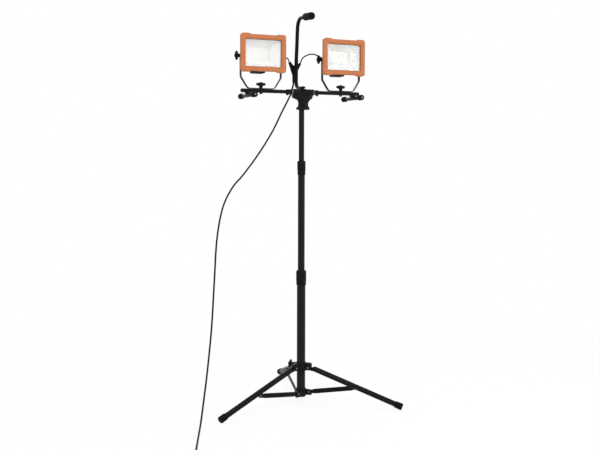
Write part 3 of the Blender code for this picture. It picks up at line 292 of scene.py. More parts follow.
def tube_paint():
    made = Surface("satin_black_paint", (0.0034, 0.0034, 0.0036), 0.34, specular=0.09)
    made.bump(made.noise(1500, 2.0), 0.20, 0.00012).bump(made.noise(160, 2.0), 0.08, 0.0003)
    made.rough(made.noise(46, 4.0, (1, 1, 0.25)), 0.28, 0.42)
    made.specks(made.noise(210, 6.0, (1, 1, 0.12), 0.7), 0.66, 0.78, 0.35, (0.011, 0.011, 0.011))
    return made.worn((0.024, 0.024, 0.025), 0.5).mat


def moulded(name, colour, lift, roughness=0.42, specular=0.09):
    made = Surface(name, colour, roughness, specular=specular)
    made.bump(made.cells(1300), 0.22, 0.00010).bump(made.noise(240, 3.0), 0.10, 0.0002)
    made.rough(made.noise(70, 4.0), roughness - 0.07, roughness + 0.08)
    made.specks(made.noise(38, 5.0), 0.55, 0.80, 0.35, lift)
    return made.worn(lift, 0.5).mat


def cast_paint():
    made = Surface("cast_black_coat", (0.0055, 0.0055, 0.0057), 0.48, specular=0.10)
    made.bump(made.cells(820), 0.35, 0.00022).bump(made.noise(420, 4.0), 0.20, 0.0002)
    made.rough(made.noise(60, 4.0), 0.40, 0.58)
    made.specks(made.noise(180, 5.0), 0.58, 0.80, 0.3, (0.017, 0.017, 0.018))
    return made.worn((0.032, 0.032, 0.034), 0.5).mat


def orange_plastic():
    pale = (0.585, 0.235, 0.110)
    made = Surface("orange_plastic", (0.492, 0.166, 0.062), 0.46, specular=0.18)
    made.bump(made.cells(1500), 0.18, 0.00010).bump(made.noise(180, 3.0), 0.10, 0.0002)
    made.rough(made.noise(52, 4.0), 0.38, 0.52)
    made.specks(made.noise(24, 4.0), 0.40, 0.75, 0.30, (0.410, 0.130, 0.043))
    made.specks(made.noise(300, 6.0, rough=0.7), 0.66, 0.80, 0.25, pale)
    return made.worn(pale, 0.6).mat


def rubber(name, colour, roughness):
    made = Surface(name, colour, roughness, sheen=0.02, specular=0.07)
    made.bump(made.noise(900, 4.0), 0.30, 0.00018)
    made.rough(made.noise(80, 4.0), roughness - 0.08, roughness + 0.10)
    made.specks(made.noise(65, 6.0, rough=0.7), 0.58, 0.82, 0.4, (0.012, 0.012, 0.0115))
    return made.mat


def foam():
    made = Surface("grip_foam", (0.0055, 0.0055, 0.0055), 0.90, sheen=0.05, specular=0.06)
    made.bump(made.cells(1100), 0.75, 0.00045).bump(made.noise(420, 5.0), 0.35, 0.0004)
    made.specks(made.noise(520, 5.0), 0.50, 0.75, 0.5, (0.019, 0.019, 0.019))
    return made.mat


def bright_tray():
    made = Surface("bright_reflector", (0.985, 0.985, 0.98), 0.42)
    made.bump(made.noise(900, 2.0), 0.05, 0.00006)
    made.rough(made.noise(40, 3.0), 0.36, 0.50)
    return made.mat


def clear_glass():
    made = Surface("clear_glass", (0.999, 1.0, 0.9995), 0.03, specular=0.25)
    made.set(made.shader, {"Transmission Weight": 1.0, "IOR": 1.30})
    made.rough(made.noise(30, 3.0), 0.02, 0.05)
    return made.mat


def plain(name, colour, roughness, metallic=0.0):
    made = Surface(name, colour, roughness, metallic)
    made.bump(made.noise(700, 3.0), 0.25, 0.00015)
    made.rough(made.noise(90, 4.0), max(roughness - 0.07, 0.05), roughness + 0.08)
    return made.mat


PAINT = tube_paint()
PLASTIC = moulded("black_plastic", (0.0045, 0.0045, 0.0047), (0.012, 0.012, 0.0125))
GREY = moulded("grey_plastic", (0.20, 0.20, 0.20), (0.28, 0.28, 0.28), 0.45, 0.4)
CAST = cast_paint()
ORANGE = orange_plastic()
RUBBER = rubber("black_rubber", (0.0045, 0.0045, 0.0045), 0.72)
JACKET = rubber("cord_jacket", (0.0045, 0.0045, 0.0047), 0.55)
FOAM = foam()
TRAY = bright_tray()
GLASS = clear_glass()
BOARD = plain("led_board_white", (0.96, 0.96, 0.955), 0.45)
CHIP = plain("led_chip", (0.95, 0.945, 0.89), 0.35)
STEEL = plain("zinc_steel", (0.46, 0.46, 0.45), 0.34, 1.0)
DARK_STEEL = plain("black_oxide_steel", (0.030, 0.030, 0.032), 0.42, 0.8)
RIVET = plain("dull_rivet_steel", (0.150, 0.150, 0.152), 0.45, 1.0)
SLOTS = {PAINT: "black_tube", PLASTIC: "black_plastic", CAST: "black_cast", ORANGE: "orange_plastic",
         RUBBER: "black_rubber", FOAM: "black_foam", TRAY: "reflector", GLASS: "clear_glass",
         BOARD: "led_board"}


# ---- Rings and rows -------------------------------------------------------------------------
SQUARE = ((-1, -1), (1, -1), (1, 1), (-1, 1))
CORNERS = SQUARE[1:] + SQUARE[:1]
SIDES = (("left", -1), ("right", 1))


def around(count, offset=0.0):
    """Cosines and sines of evenly spaced angles."""
    return [(math.cos(a), math.sin(a)) for a in (2 * math.pi * (i + offset) / count for i in range(count))]


def squared(value, power):
    """A sine or cosine, made squarer by a power below 1."""
    return math.copysign(abs(value) ** power, value)


def circle(radius, z, count):
    return [(radius * c, radius * s, z) for c, s in around(count)]


def oval(x, half_y, half_z, lift, squareness):
    return [(x, half_y * squared(c, squareness), lift + half_z * squared(s, squareness))
            for c, s in around(40, 0.5)]


def arc(cx, cy, radius, start, sweep, steps, tall=None):
    """Points round a centre, from a start in degrees. tall is the second radius of an ellipse."""
    angles = [math.radians(start + sweep * i / steps) for i in range(steps + 1)]
    return [(cx + radius * math.cos(a), cy + (tall or radius) * math.sin(a)) for a in angles]


def rounded_outline(width, height, radius):
    points = []
    for k, (sx, sy) in enumerate(CORNERS):
        points += arc(sx * (width / 2 - radius), sy * (height / 2 - radius), radius, 90 * (k - 1), 90, 6)
    return points


def upright(outline, y, z=0.0):
    return [(x, y, z + up) for x, up in outline]


def grooves(radius, depth, starts, wide, flank):
    """Profile rows of grooves round a shape, each from its start along the axis."""
    form = ((radius, 0.0), (radius - depth, flank), (radius - depth, wide - flank), (radius, wide))
    return [(r, z + along) for z in starts for r, along in form]


def ribs(count, start, pitch, radius, form):
    """Profile rows of a bend guard's ribs, each 0.2 mm wider than the one before."""
    return [(radius + 0.0002 * i + out, start + pitch * i + along)
            for i in range(count) for out, along in form]


def eased(rows, steps):
    """Rows of numbers with smooth steps put between them."""
    made = []
    for a, b in zip(rows, rows[1:]):
        for i in range(steps):
            t = i / steps
            k = t * t * (3 - 2 * t)
            made.append(tuple(p + (q - p) * (t if n == 0 else k) for n, (p, q) in enumerate(zip(a, b))))
    return made + [rows[-1]]


def flowing(rows, steps):
    """Rows of numbers with points put between them on one smooth curve."""
    knots = [np.array(row, float) for row in rows]
    knots = [2 * knots[0] - knots[1]] + knots + [2 * knots[-1] - knots[-2]]
    made = []
    for a, b, c, d in zip(knots, knots[1:], knots[2:], knots[3:]):
        for i in range(steps):
            t = i / steps
            row = 0.5 * (2 * b + (c - a) * t + (2 * a - 5 * b + 4 * c - d) * t**2
                         + (3 * b - a - 3 * c + d) * t**3)
            made.append(tuple(map(float, row)))
    return made + [tuple(rows[-1])]


# ---- Making shapes --------------------------------------------------------------------------
def loft(rings, loop=False):
    """A skin over rings of points, closed at both ends or round to the first ring again."""
    bm = bmesh.new()
    rows = [[bm.verts.new(p) for p in ring] for ring in rings]
    for low, high in zip(rows, rows[1:] + rows[:1] if loop else rows[1:]):
        for i in range(len(low)):
            j = (i + 1) % len(low)
            bm.faces.new((low[i], low[j], high[j], high[i]))
    if not loop:
        bm.faces.new(rows[0])
        bm.faces.new(rows[-1])
    return bm


def turned(profile, count=48, loop=False, axis="Z"):
    """A turned shape from (radius, distance along the axis) rows."""
    bm = loft([circle(r, z, count) for r, z in profile], loop)
    if axis != "Z":
        bm.transform(turn(90, "Y") if axis == "X" else turn(-90, "X"))
    return bm


def rod(radius, low, high, axis="Z", count=24):
    return turned([(radius, low), (radius, high)], count, axis=axis)


def tube(radius, z0, z1, count, axis="Z"):
    soft, bore = 0.0003, radius - TUBE_WALL
    return turned([(radius - soft, z0), (radius, z0 + soft), (radius, z1 - soft), (radius - soft, z1),
                   (bore + soft / 2, z1), (bore, z1 - soft), (bore, z0 + soft), (bore + soft / 2, z0)],
                  count, True, axis)


def put(bm, *place):
    bm.transform(SHIFT(place))
    return bm


def moved(bm, matrix):
    bm.transform(matrix)
    return bm


def block(x0, x1, y0, y1, z0, z1, chamfer=1e-6):
    c = chamfer
    outline = [(x0 + c, y0), (x1 - c, y0), (x1, y0 + c), (x1, y1 - c),
               (x1 - c, y1), (x0 + c, y1), (x0, y1 - c), (x0, y0 + c)]
    return loft([[(x, y, z) for x, y in outline] for z in (z0, z1)])


def panel(rows, loop=False):
    """A lamp's shape through rounded rectangles, from (y, width, height, corner) rows."""
    return loft([upright(rounded_outline(w, h, r), y, LAMP_MID) for y, w, h, r in rows], loop)


def cut(shape):
    return "DIFFERENCE", shape


def add(shape):
    return "UNION", shape


# ---- Making pieces --------------------------------------------------------------------------
def link(name, bm, at):
    data = bpy.data.meshes.new(name)
    bmesh.ops.recalc_face_normals(bm, faces=bm.faces)
    bm.transform(at)
    if at.determinant() < 0:
        bmesh.ops.reverse_faces(bm, faces=bm.faces)
    bm.to_mesh(data)
    bm.free()
    made = bpy.data.objects.new(name, data)
    bpy.context.scene.collection.objects.link(made)
    return made


def settle(made):
    """Applies a piece's modifiers to its mesh."""
    bpy.context.view_layer.update()
    graph = bpy.context.evaluated_depsgraph_get()
    data = bpy.data.meshes.new_from_object(made.evaluated_get(graph))
    made.modifiers.clear()
    old, made.data = made.data, data
    data.name = made.name
    if old.users == 0:
        bpy.data.meshes.remove(old)


def dress(data, mat, smooth):
    data.materials.clear()
    data.materials.append(mat)
    data.shade_smooth()
    data.set_sharp_from_angle(angle=math.radians(smooth))


def piece(name, bm, mat, body, at=STAND, changes=(), bevel=0.0004, smooth=38, slot=None, stands_for=()):
    """A visible piece: a shape, what is joined to it or cut from it, fine rounded edges, a
    material, and the body it rides on. changes holds (operation, shape) pairs in the same frame."""
    made = link(f"{name}_look" if stands_for else name, bm, at)
    for operation, other in changes:
        helper = link("helper", other, at)
        change = made.modifiers.new("change", "BOOLEAN")
        change.operation, change.solver, change.object = operation, "EXACT", helper
        settle(made)
        bpy.data.objects.remove(helper, do_unlink=True)
    if bevel:
        edge = made.modifiers.new("edges", "BEVEL")
        edge.width, edge.segments, edge.limit_method = bevel, 2, "ANGLE"
        edge.angle_limit = math.radians(32)
        settle(made)
    dress(made.data, mat, smooth)
    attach(made, body)
    if stands_for:
        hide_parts(*stands_for)
    return made


def part(name, bm, mat, body, at=STAND, changes=(), slot=None, **look):
    """A piece that stands for the CAD node of the same name."""
    return piece(name, bm, mat, body, at, changes, slot=slot or SLOTS[mat], stands_for=[name], **look)


def screw(name, radius, tall, body, at, mat=DARK_STEEL):
    """A pan head screw along +Z with a cross recess. Its head's underside is at z = 0."""
    profile = [(radius * 0.6, -0.0012), (radius, -0.0002), (radius, tall * 0.35),
               (radius * 0.90, tall * 0.75), (radius * 0.62, tall), (radius * 0.2, tall * 1.04)]
    deep, wide, thin = tall * 0.45, radius * 0.62, radius * 0.13
    cuts = [cut(block(-x, x, -y, y, deep, tall * 2)) for x, y in ((wide, thin), (thin, wide))]
    piece(name, turned(profile, 28), mat, body, at, cuts, bevel=0)


def wing_ring(span, waist, thick, z):
    points = []
    for c, s in around(48):
        wing = abs(c) ** 5
        points.append(((waist + (span - waist) * wing) * c, (waist + (thick - waist) * wing) * s, z))
    return points


def wing_knob(name, bolt_from, base, span, at, body, bore=0.0):
    """A knob with two wings, on a bolt of its own or, with a bore, on the bolt below it."""
    if bore:
        start = [(bore, 0.013), (bore, 0.0004), (bore + 0.0004, 0.0)]
    else:
        start = [(0.0024, bolt_from - base - 0.001), (0.003, bolt_from - base), (0.003, 0.0)]
    stem = start + mm([(6.6, 0), (7.1, 0.3), (7.2, 1), (6.8, 4.8), (7.1, 7)])
    wings = mm([(7.4, 6.2, 8, 0.42), (7.6, 5.2, 9.1, 0.66), (7.9, 5, 10.4, 0.86), (8, 5, 12, 0.97),
                (8, 4.9, 14.2, 1.0), (8, 4.6, 16.6, 0.99), (7.9, 4.2, 18.4, 0.94), (7.6, 3.4, 19.8, 0.80),
                (7, 4.2, 20.6, 0.50)], 3)
    rings = [circle(r, base + z, 48) for r, z in stem]
    rings += [wing_ring(span * share, waist, thick, base + z) for waist, thick, z, share in wings]
    rings += [circle(r, base + z, 48) for r, z in mm([(6.6, 21.2), (5.6, 22.2), (4, 22.8), (2, 23)])]
    part(name, loft(rings), PLASTIC, body, at, bevel=0, smooth=48)


# ---- Tripod ---------------------------------------------------------------------------------
def tripod_lie():
    """A leg's length and fall and a brace's length and rise, between their pivots, at rest."""
    out, down = FOOT_R - LEG_PIVOT_R, LEG_PIVOT_Z - FOOT_Z
    reach = math.hypot(out, down)
    fall = math.atan2(down, out) + math.asin(LEG_LIFT / reach)
    brace_out = LEG_PIVOT_R + BRACE_ON_LEG * math.cos(fall) - BRACE_PIVOT_R
    brace_up = LEG_PIVOT_Z - BRACE_ON_LEG * math.sin(fall) - BRACE_PIVOT_Z
    return (math.sqrt(reach**2 - LEG_LIFT**2), fall,
            math.hypot(brace_out, brace_up), math.atan2(brace_up, brace_out))


LEG_LENGTH, LEG_FALL, BRACE_LENGTH, BRACE_RISE = tripod_lie()


def leg_shape():
    """A round tube, pressed to a flat tongue at its pivot."""
    end, bore = LEG_LENGTH - 0.005, LEG_R - TUBE_WALL
    rows = mm([(-8.2, 3, 3.5, 0, 0.6), (-6.2, 3.4, 6, 0, 0.56), (-3, 3.6, 7.6, 0, 0.52),
               (1, 3.6, 8, 0, 0.5)], 4)
    rows += flowing(mm([(14, 3.6, 8, 0.2, 0.5), (16.5, 3.6, 8, 0.5, 0.5), (21, 8.5, 9.8, 3.6, 0.8),
                        (27, 10.8, 10.9, 6, 1.0), (33, 11, 11, 6, 1.0)], 4), 4)
    rows += [(x, r, r, LEG_LIFT, 1.0) for x, r in ((end, LEG_R), (end, bore), (0.035, bore))]
    return loft([oval(*row) for row in rows])


def leg_cap_shape():
    """A rubber foot with ribs, cut off level with the floor."""
    end, bore, mouth = LEG_LENGTH, LEG_R + CLEAR, LEG_LENGTH - 0.030
    last = mouth + 0.0166
    profile = [(bore, end - 0.0046), (bore, mouth), (0.0124, mouth), (0.013, mouth + 0.0004),
               (0.0136, mouth + 0.0015)]
    profile += grooves(0.0136, 0.0006, [mouth + 0.004 + 0.0042 * i for i in range(3)], 0.0024, 0.0006)
    profile += [(0.0139, last + 0.001), (0.0139, end - 0.0034), (0.0134, end - 0.0014),
                (0.0118, end - 0.0002), (0.010, end)]
    cap = put(turned(profile, axis="X"), 0, 0, LEG_LIFT)
    up = Vector((-math.sin(LEG_FALL), 0, math.cos(LEG_FALL)))
    everything = list(cap.verts) + list(cap.edges) + list(cap.faces)
    bmesh.ops.bisect_plane(cap, geom=everything, dist=1e-7, plane_co=-LEG_PIVOT_Z * up,
                           plane_no=up, clear_inner=True)
    bmesh.ops.edgeloop_fill(cap, edges=[e for e in cap.edges if e.is_boundary])
    return cap


def brace_shape():
    """A flattened tube, pressed flat at its round ends."""
    rows = mm([(-7.6, 1.4, 3, 0.42), (-6, 1.5, 5.4, 0.42), (-3, 1.5, 7.4, 0.42), (2, 1.5, 8, 0.42)], 3)
    rows += eased(mm([(14, 1.5, 8, 0.42), (28, 2.6, 9.8, 0.60)], 3), 5)
    rows += [(BRACE_LENGTH - x, *rest) for x, *rest in reversed(rows)]
    return put(loft([oval(x, y, z, 0.0, square) for x, y, z, square in rows]), 0, BRACE_SIDE, 0)


def rivet(y0, y1, shank, head):
    dome = [(head * k, 0.0016 * t) for k, t in ((0.35, 1.0), (0.75, 0.82), (0.95, 0.4), (1.0, 0.0))]
    return turned([(r, y0 - tall) for r, tall in dome] + [(shank, y0), (shank, y1)]
                  + [(r, y1 + tall) for r, tall in reversed(dome)], 24, axis="Y")


def clevis(inner, outer, cheek_end, web_near, web_far, gap, cheek):
    """Two cheeks and the web between them, narrowing outwards."""
    half, wide = gap / 2, gap / 2 + cheek
    rings = []
    for x, k, m in ((inner, 1.0, 1.0), (outer - 0.010, 1.0, 1.0), (outer - 0.004, 0.80, 0.94),
                    (outer, 0.45, 0.80)):
        ends, near = cheek_end * k, web_near
        far = web_near + (web_far - web_near) * m
        outline = [(-wide, ends), (-half, ends), (-half, near), (half, near),
                   (half, ends), (wide, ends), (wide, far), (-wide, far)]
        rings.append([(x, y, z) for y, z in outline])
    return loft(rings)


def ring_collar(name, z_range, lug, grip, pivot, side, grooved, bottom, extra=()):
    """A ring round the base tube with a clevis and a pin for each leg."""
    (z0, z1), (pivot_r, pivot_z) = z_range, pivot
    middle, half = (z0 + z1) / 2, (z1 - z0) / 2
    body = "stand" if name == "base_collar" else name
    profile = [(RING_R - 0.001, -half), (RING_R, 0.001 - half)]
    profile += grooves(RING_R, 0.0007, [z - 0.0008 for z in grooved], 0.0016, 0.0006)
    profile += [(RING_R, half - 0.001), (RING_R - 0.001, half)]
    changes = [add(moved(put(clevis(*lug), 0, side, 0), SHIFT((0, 0, pivot_z - middle)) @ turn(azimuth, "Z")))
               for azimuth in LEG_AZIMUTHS.values()]
    changes += [*extra, cut(rod(BASE_TUBE_R + CLEAR, bottom, 0.050, count=64))]
    part(name, turned(profile, 64), PLASTIC, body, STAND @ SHIFT((0, 0, middle)), changes, bevel=0.0005)
    for where, azimuth in LEG_AZIMUTHS.items():
        pin = put(rivet(side - grip, side + grip, 0.0022, 0.0044), pivot_r, 0, 0)
        piece(f"{name}_pin_{where}", pin, RIVET, body, STAND @ SHIFT((0, 0, pivot_z)) @ turn(azimuth, "Z"),
              bevel=0)


def leg(where, azimuth):
    out = STAND @ turn(azimuth, "Z")
    hip = out @ SHIFT((LEG_PIVOT_R, 0, LEG_PIVOT_Z)) @ Matrix.Rotation(LEG_FALL, 4, "Y")
    part(f"leg_{where}", leg_shape(), PAINT, f"leg_{where}", hip, [cut(rod(0.0025, -0.01, 0.01, "Y"))],
         bevel=0.0003)
    part(f"leg_cap_{where}", leg_cap_shape(), RUBBER, f"leg_{where}", hip, bevel=0.0003)
    ankle = out @ SHIFT((BRACE_PIVOT_R, 0, BRACE_PIVOT_Z)) @ Matrix.Rotation(-BRACE_RISE, 4, "Y")
    part(f"brace_{where}", brace_shape(), PAINT, f"brace_{where}", ankle, [cut(rod(0.0025, 0.0, 0.03, "Y"))],
         bevel=0.0003)
    washer = turned(mm([(2.2, 9), (4.6, 9), (4.6, 11.9), (4, 12.3), (2.2, 12.3)]), 28, axis="Y")
    for name, shape, along, body, at in (
            ("brace_rivet", rivet(BRACE_SIDE - 0.0002, BRACE_SIDE + 0.0015, 0.002, 0.0042), BRACE_LENGTH,
             "brace", ankle),
            ("brace_washer", washer, BRACE_ON_LEG, "leg", hip),
            ("leg_rivet", rivet(-0.0096, 0.0, 0.002, 0.004), BRACE_ON_LEG, "leg", hip)):
        piece(f"{name}_{where}", put(shape, along, 0, 0), RIVET, f"{body}_{where}", at, bevel=0)


def tripod():
    base_lug = (0.010, 0.0415, 0.010, -0.0098, -0.013, 0.0038, 0.0026)
    leg_lug = (0.015, 0.045, -0.010, 0.0106, 0.0205, 0.008, 0.003)
    ring_collar("base_collar", BASE_COLLAR_Z, base_lug, 0.0045, (BRACE_PIVOT_R, BRACE_PIVOT_Z), BRACE_SIDE,
                (0.0135,), 0.0036 - (BASE_COLLAR_Z[1] - BASE_COLLAR_Z[0]) / 2)
    clamp = SHIFT((0, 0, CLAMP_LIFT)) @ turn(CLAMP_AZIMUTH, "Z")
    boss = moved(turned(mm([(7.5, 19), (7.5, 30), (6.4, 32)]), 32, axis="X"), clamp)
    thread = moved(rod(0.0034, 0.010, 0.040, "X"), clamp)
    ring_collar("leg_collar", LEG_COLLAR_Z, leg_lug, 0.007, (LEG_PIVOT_R, LEG_PIVOT_Z), 0.0,
                (-0.015, 0.015), -0.050, (add(boss), cut(thread)))
    knob_at = (STAND @ SHIFT((0, 0, sum(LEG_COLLAR_Z) / 2 + CLAMP_LIFT)) @ turn(CLAMP_AZIMUTH, "Z")
               @ turn(40, "X") @ turn(90, "Y"))
    wing_knob("leg_clamp_knob", 0.0195, 0.032 + CLEAR, 0.019, knob_at, "leg_clamp")
    for where, azimuth in LEG_AZIMUTHS.items():
        leg(where, azimuth)


# ---- Mast -----------------------------------------------------------------------------------
def scalloped(radius, depth, z):
    """A ring with six finger hollows."""
    points = []
    for i in range(192):
        a = 2 * math.pi * i / 192
        r = radius - depth * min((0.5 - 0.5 * math.cos(6 * a)) * 1.35, 1.0)
        points.append((r * math.cos(a), r * math.sin(a), z))
    return points


def twist_lock(name, z_range, radius, outer_r, outer_top, inner_r, low_body):
    """A fixed ferrule and the collar that turns on it."""
    z0, z1 = z_range
    split = z0 + 0.30 * (z1 - z0)
    bore, lip, rim = outer_r + CLEAR, inner_r + 0.0004, radius - 0.0014
    profile = [(bore, z0), (rim - 0.0016, z0), (rim - 0.0006, z0 + 0.0008), (rim, z0 + 0.003)]
    profile += grooves(rim, 0.0007, [z0 + 0.0075], 0.0028, 0.0007)
    profile += [(rim, split - 0.0005), (rim - 0.0005, split), (bore, split)]
    part(f"{name}_ferrule", turned(profile, 72, True), PLASTIC, low_body, bevel=0.0002)
    low, deep = split + 0.0004, outer_top + 0.001
    rows = [(0.0022, 0.0, low), (0.0004, 0.0002, low + 0.0018), (0.0, 0.001, low + 0.0034),
            (0.0, 0.0013, (low + z1) / 2), (0.0, 0.001, z1 - 0.0084), (0.0006, 0.0004, z1 - 0.0056),
            (0.002, 0.0001, z1 - 0.0014), (0.0034, 0.0, z1)]
    rings = [scalloped(radius - inset, depth, z) for inset, depth, z in rows]
    rings += [circle(r, z, 192) for r, z in ((lip + 0.0004, z1), (lip, z1 - 0.0006), (lip, deep),
                                            (bore, deep - 0.0008), (bore, low))]
    part(f"{name}_collar", loft(rings, True), PLASTIC, name, bevel=0)


def mast():
    for name, radius, z_range, body in (("base_tube", BASE_TUBE_R, BASE_TUBE_Z, "stand"),
                                        ("mid_tube", MID_TUBE_R, MID_TUBE_Z, "mast_mid"),
                                        ("top_tube", TOP_TUBE_R, TOP_TUBE_Z, "mast_top")):
        part(name, tube(radius, *z_range, 96), PAINT, body, bevel=0)
    twist_lock("lower_lock", LOWER_LOCK_Z, LOWER_LOCK_R, BASE_TUBE_R, BASE_TUBE_Z[1], MID_TUBE_R, "stand")
    twist_lock("upper_lock", UPPER_LOCK_Z, UPPER_LOCK_R, MID_TUBE_R, MID_TUBE_Z[1], TOP_TUBE_R, "mast_mid")


# ---- Head -----------------------------------------------------------------------------------
def neck_ring(z, left, right, half_y, squareness):
    middle, half_x = (left + right) / 2, (right - left) / 2
    return [(middle + half_x * squared(c, squareness), half_y * squared(s, squareness), z)
            for c, s in around(64)]


def t_head():
    """A moulded neck under the bar's holder. Its rows: height, left, right, depth, squareness."""
    rows = mm([(0, -19.9, 31.2, 17.2, 0.78), (0.8, -21.1, 32.6, 18.4, 0.76), (1.8, -21.5, 33, 18.8, 0.75),
               (8.4, -21.5, 33, 18.8, 0.75), (9.6, -20.7, 32.4, 18.3, 0.76)], 4)
    rows += flowing(mm([
        (12.5, -15.6, 29.4, 15.2, 0.8), (15, -14.8, 28.6, 14.9, 0.8), (23, -13.8, 27.5, 14.5, 0.8),
        (33, -14.6, 30.8, 14.5, 0.75), (39.5, -20, 36.7, 14.2, 0.7), (44, -32, 43, 13.8, 0.62),
        (48, -40, 46.2, 13, 0.5), (52, -41, 47.2, 12.5, 0.5)], 4), 4)
    rows += mm([(68, -41, 47.2, 11.8, 0.5)], 4)
    up, soft = BAR_Z - NECK_Z, HOLDER_R - 0.0006
    holder = [(soft, -HEAD_HALF - 0.0006), (HOLDER_R, -HEAD_HALF)]
    holder += grooves(HOLDER_R, 0.0006, (-0.016, 0.014), 0.002, 0.0006)
    holder += [(HOLDER_R, HEAD_HALF), (soft, HEAD_HALF + 0.0006)]
    changes = [add(put(turned(holder, 64, axis="X"), HEAD_X, 0, up)),
               add(block(HEAD_X - 0.012, HEAD_X + 0.012, -0.013, 0.011, up + 0.008, up + 0.0128, 0.002)),
               cut(put(rod(BAR_R + CLEAR, -0.060, 0.060, "X", 48), HEAD_X, 0, up)),
               cut(rod(TOP_TUBE_R + CLEAR, -0.010, 0.039, count=64)),
               cut(block(0.005, 0.050, -0.001, 0.001, -0.005, 0.033)),
               cut(put(rod(0.003, -0.03, 0.03, "Y"), *CLAMP_SCREW))]
    for y0, y1 in ((-0.030, -0.0112), (0.0112, 0.030)):
        changes.append(cut(put(rod(0.0052, y0, y1, "Y", 32), *CLAMP_SCREW)))
    part("t_head", loft([neck_ring(*row) for row in rows]), PLASTIC, "head", HEAD, changes, bevel=0.0005)
    screw("head_clamp_screw", 0.0044, 0.0026, "head",
          HEAD @ SHIFT(CLAMP_SCREW) @ SHIFT((0, -0.0114, 0)) @ turn(90, "X"))
    nut = turned(mm([(4.6, 11.4), (4.6, 14), (4, 14.3)]), 6, axis="Y")
    piece("head_clamp_nut", put(nut, *CLAMP_SCREW), STEEL, "head", HEAD, bevel=0.0003)


def bar_collar(name, x0, x1, flange_first):
    """A sleeve on the bar with a lug below and a grey ring round its flange."""
    bore, sleeve, flange, length = BAR_R + CLEAR, 0.0102, 0.0132, x1 - x0
    outer = [(flange - 0.0006, 0.0), (flange, 0.0006), (flange, 0.0032), (flange - 0.0006, 0.0038),
             (sleeve + 0.0004, 0.0046), (sleeve, 0.0054)]
    outer += grooves(sleeve, 0.0006, [length * 0.45], 0.0022, 0.0006)
    outer += [(sleeve, length - 0.0015), (sleeve - 0.0012, length)]
    if not flange_first:
        outer = [(r, length - x) for r, x in reversed(outer)]
    along = length * (0.80 if flange_first else 0.20)
    lug = put(turned(mm([(4, -14), (5, -13), (5.2, -9)]), 32), along, 0, 0)
    at = BAR @ SHIFT((x0, 0, 0))
    part(name, turned(outer + [(bore, length), (bore, 0.0)], 56, True, "X"), PLASTIC, "head", at, [add(lug)],
         bevel=0.0003)
    ring_x = 0.0006 if flange_first else length - 0.0032
    band = turned([(flange - 0.001, ring_x), (flange + 0.0001, ring_x + 0.0002),
                   (flange + 0.0001, ring_x + 0.0024), (flange - 0.001, ring_x + 0.0026)], 56, axis="X")
    hole = rod(flange - 0.002, -0.01, length + 0.01, "X", 56)
    piece(f"{name}_ring", band, GREY, "head", at, [cut(hole)], bevel=0)


def crossbar():
    holes = [cut(put(rod(0.0034, -0.020, 0.020), side * LAMP_X, 0, 0)) for _, side in SIDES]
    part("crossbar", tube(BAR_R, -BAR_HALF, BAR_HALF, 56, "X"), PAINT, "head", BAR, holes, bevel=0.0002)
    bore = BAR_R - TUBE_WALL
    for where, side in SIDES:
        plug = turned([(bore - 0.0002, -0.008), (bore - 0.0002, -0.0012), (bore - 0.0008, -0.0004),
                       (0.003, -0.0002)], 32, axis="X")
        piece(f"bar_end_plug_{where}", plug, PLASTIC, "head",
              BAR @ SHIFT((side * BAR_HALF, 0, 0)) @ turn(0 if side > 0 else 180, "Z"), bevel=0)


def cross_foot(where, side):
    """A short tube across the bar's end, on a saddle, with a ribbed cap on each end."""
    at = BAR @ SHIFT((side * CROSS_FOOT_X, 0, -CROSS_FOOT_DROP))
    top = CROSS_FOOT_DROP - BAR_R - CLEAR
    changes = [add(block(-0.0105, 0.0105, -0.0095, 0.0095, 0.006, top + 0.004, 0.003)),
               cut(put(rod(BAR_R + CLEAR, -0.030, 0.030, "X", 48), 0, 0, CROSS_FOOT_DROP)),
               cut(rod(CROSS_FOOT_R - TUBE_WALL, -0.1, 0.1, "Y", 40))]
    part(f"cross_foot_{where}", rod(CROSS_FOOT_R, -CROSS_FOOT_HALF, CROSS_FOOT_HALF, "Y", 56), PAINT, "head",
         at, changes)
    long = 0.025
    profile = [(CROSS_FOOT_R + CLEAR, long - 0.0035), (CROSS_FOOT_R + CLEAR, 0.0)]
    profile += mm([(10.2, 0), (11, 0.6), (11.2, 2)])
    profile += grooves(0.0112, 0.0005, (0.005, 0.009, 0.013), 0.002, 0.0005)
    profile += mm([(11.2, 22), (10.8, 23.8), (9.8, 24.8), (8, 25)])
    for end, away, facing in (("front", -1, 180), ("rear", 1, 0)):
        place = at @ SHIFT((0, away * (CROSS_FOOT_HALF + 0.0038 - long), 0)) @ turn(facing, "Z")
        part(f"cross_foot_cap_{where}_{end}", turned(profile, axis="Y"), RUBBER, "head", place, bevel=0.0002)
        # A grey disc on the middle of each cap's end is a painted highlight, not a part of the rubber cap.
        highlight_disc = turned(mm([(3.4, 25), (3.4, 25.25), (2.8, 25.35)]), 28, axis="Y")
        piece(f"cross_foot_dot_{where}_{end}", highlight_disc, GREY, "head", place, bevel=0)


def handle_path():
    """The handle's middle line and half width and height, from its pressed foot to the grip."""
    foot = mm([(-11.5, 18.3, 7.8, 4.5), (-10.8, 18.3, 8.4, 5), (15, 18.3, 8.5, 5.1)])
    foot += eased(mm([(20, 18.3, 8.5, 5.1), (32, 19.3, 7.9, 6.6)]), 4)
    line = arc(0.035, 0.0457, 0.025, -80, 78, 11)
    line += flowing(mm([(59, 90), (58, 141.4), (53, 188.9), (48.4, 244)]), 3)
    line += arc(0.010, 0.256, 0.0368, 12, 78, 13, 0.0399)
    inside = 0.008
    line.append((GRIP_REAR - GRIP_LENGTH + inside,
                 GRIP_FRONT_UP + (GRIP_REAR_UP - GRIP_FRONT_UP) * inside / GRIP_LENGTH))
    return foot + [(y, z, HANDLE_R, HANDLE_R) for y, z in line]


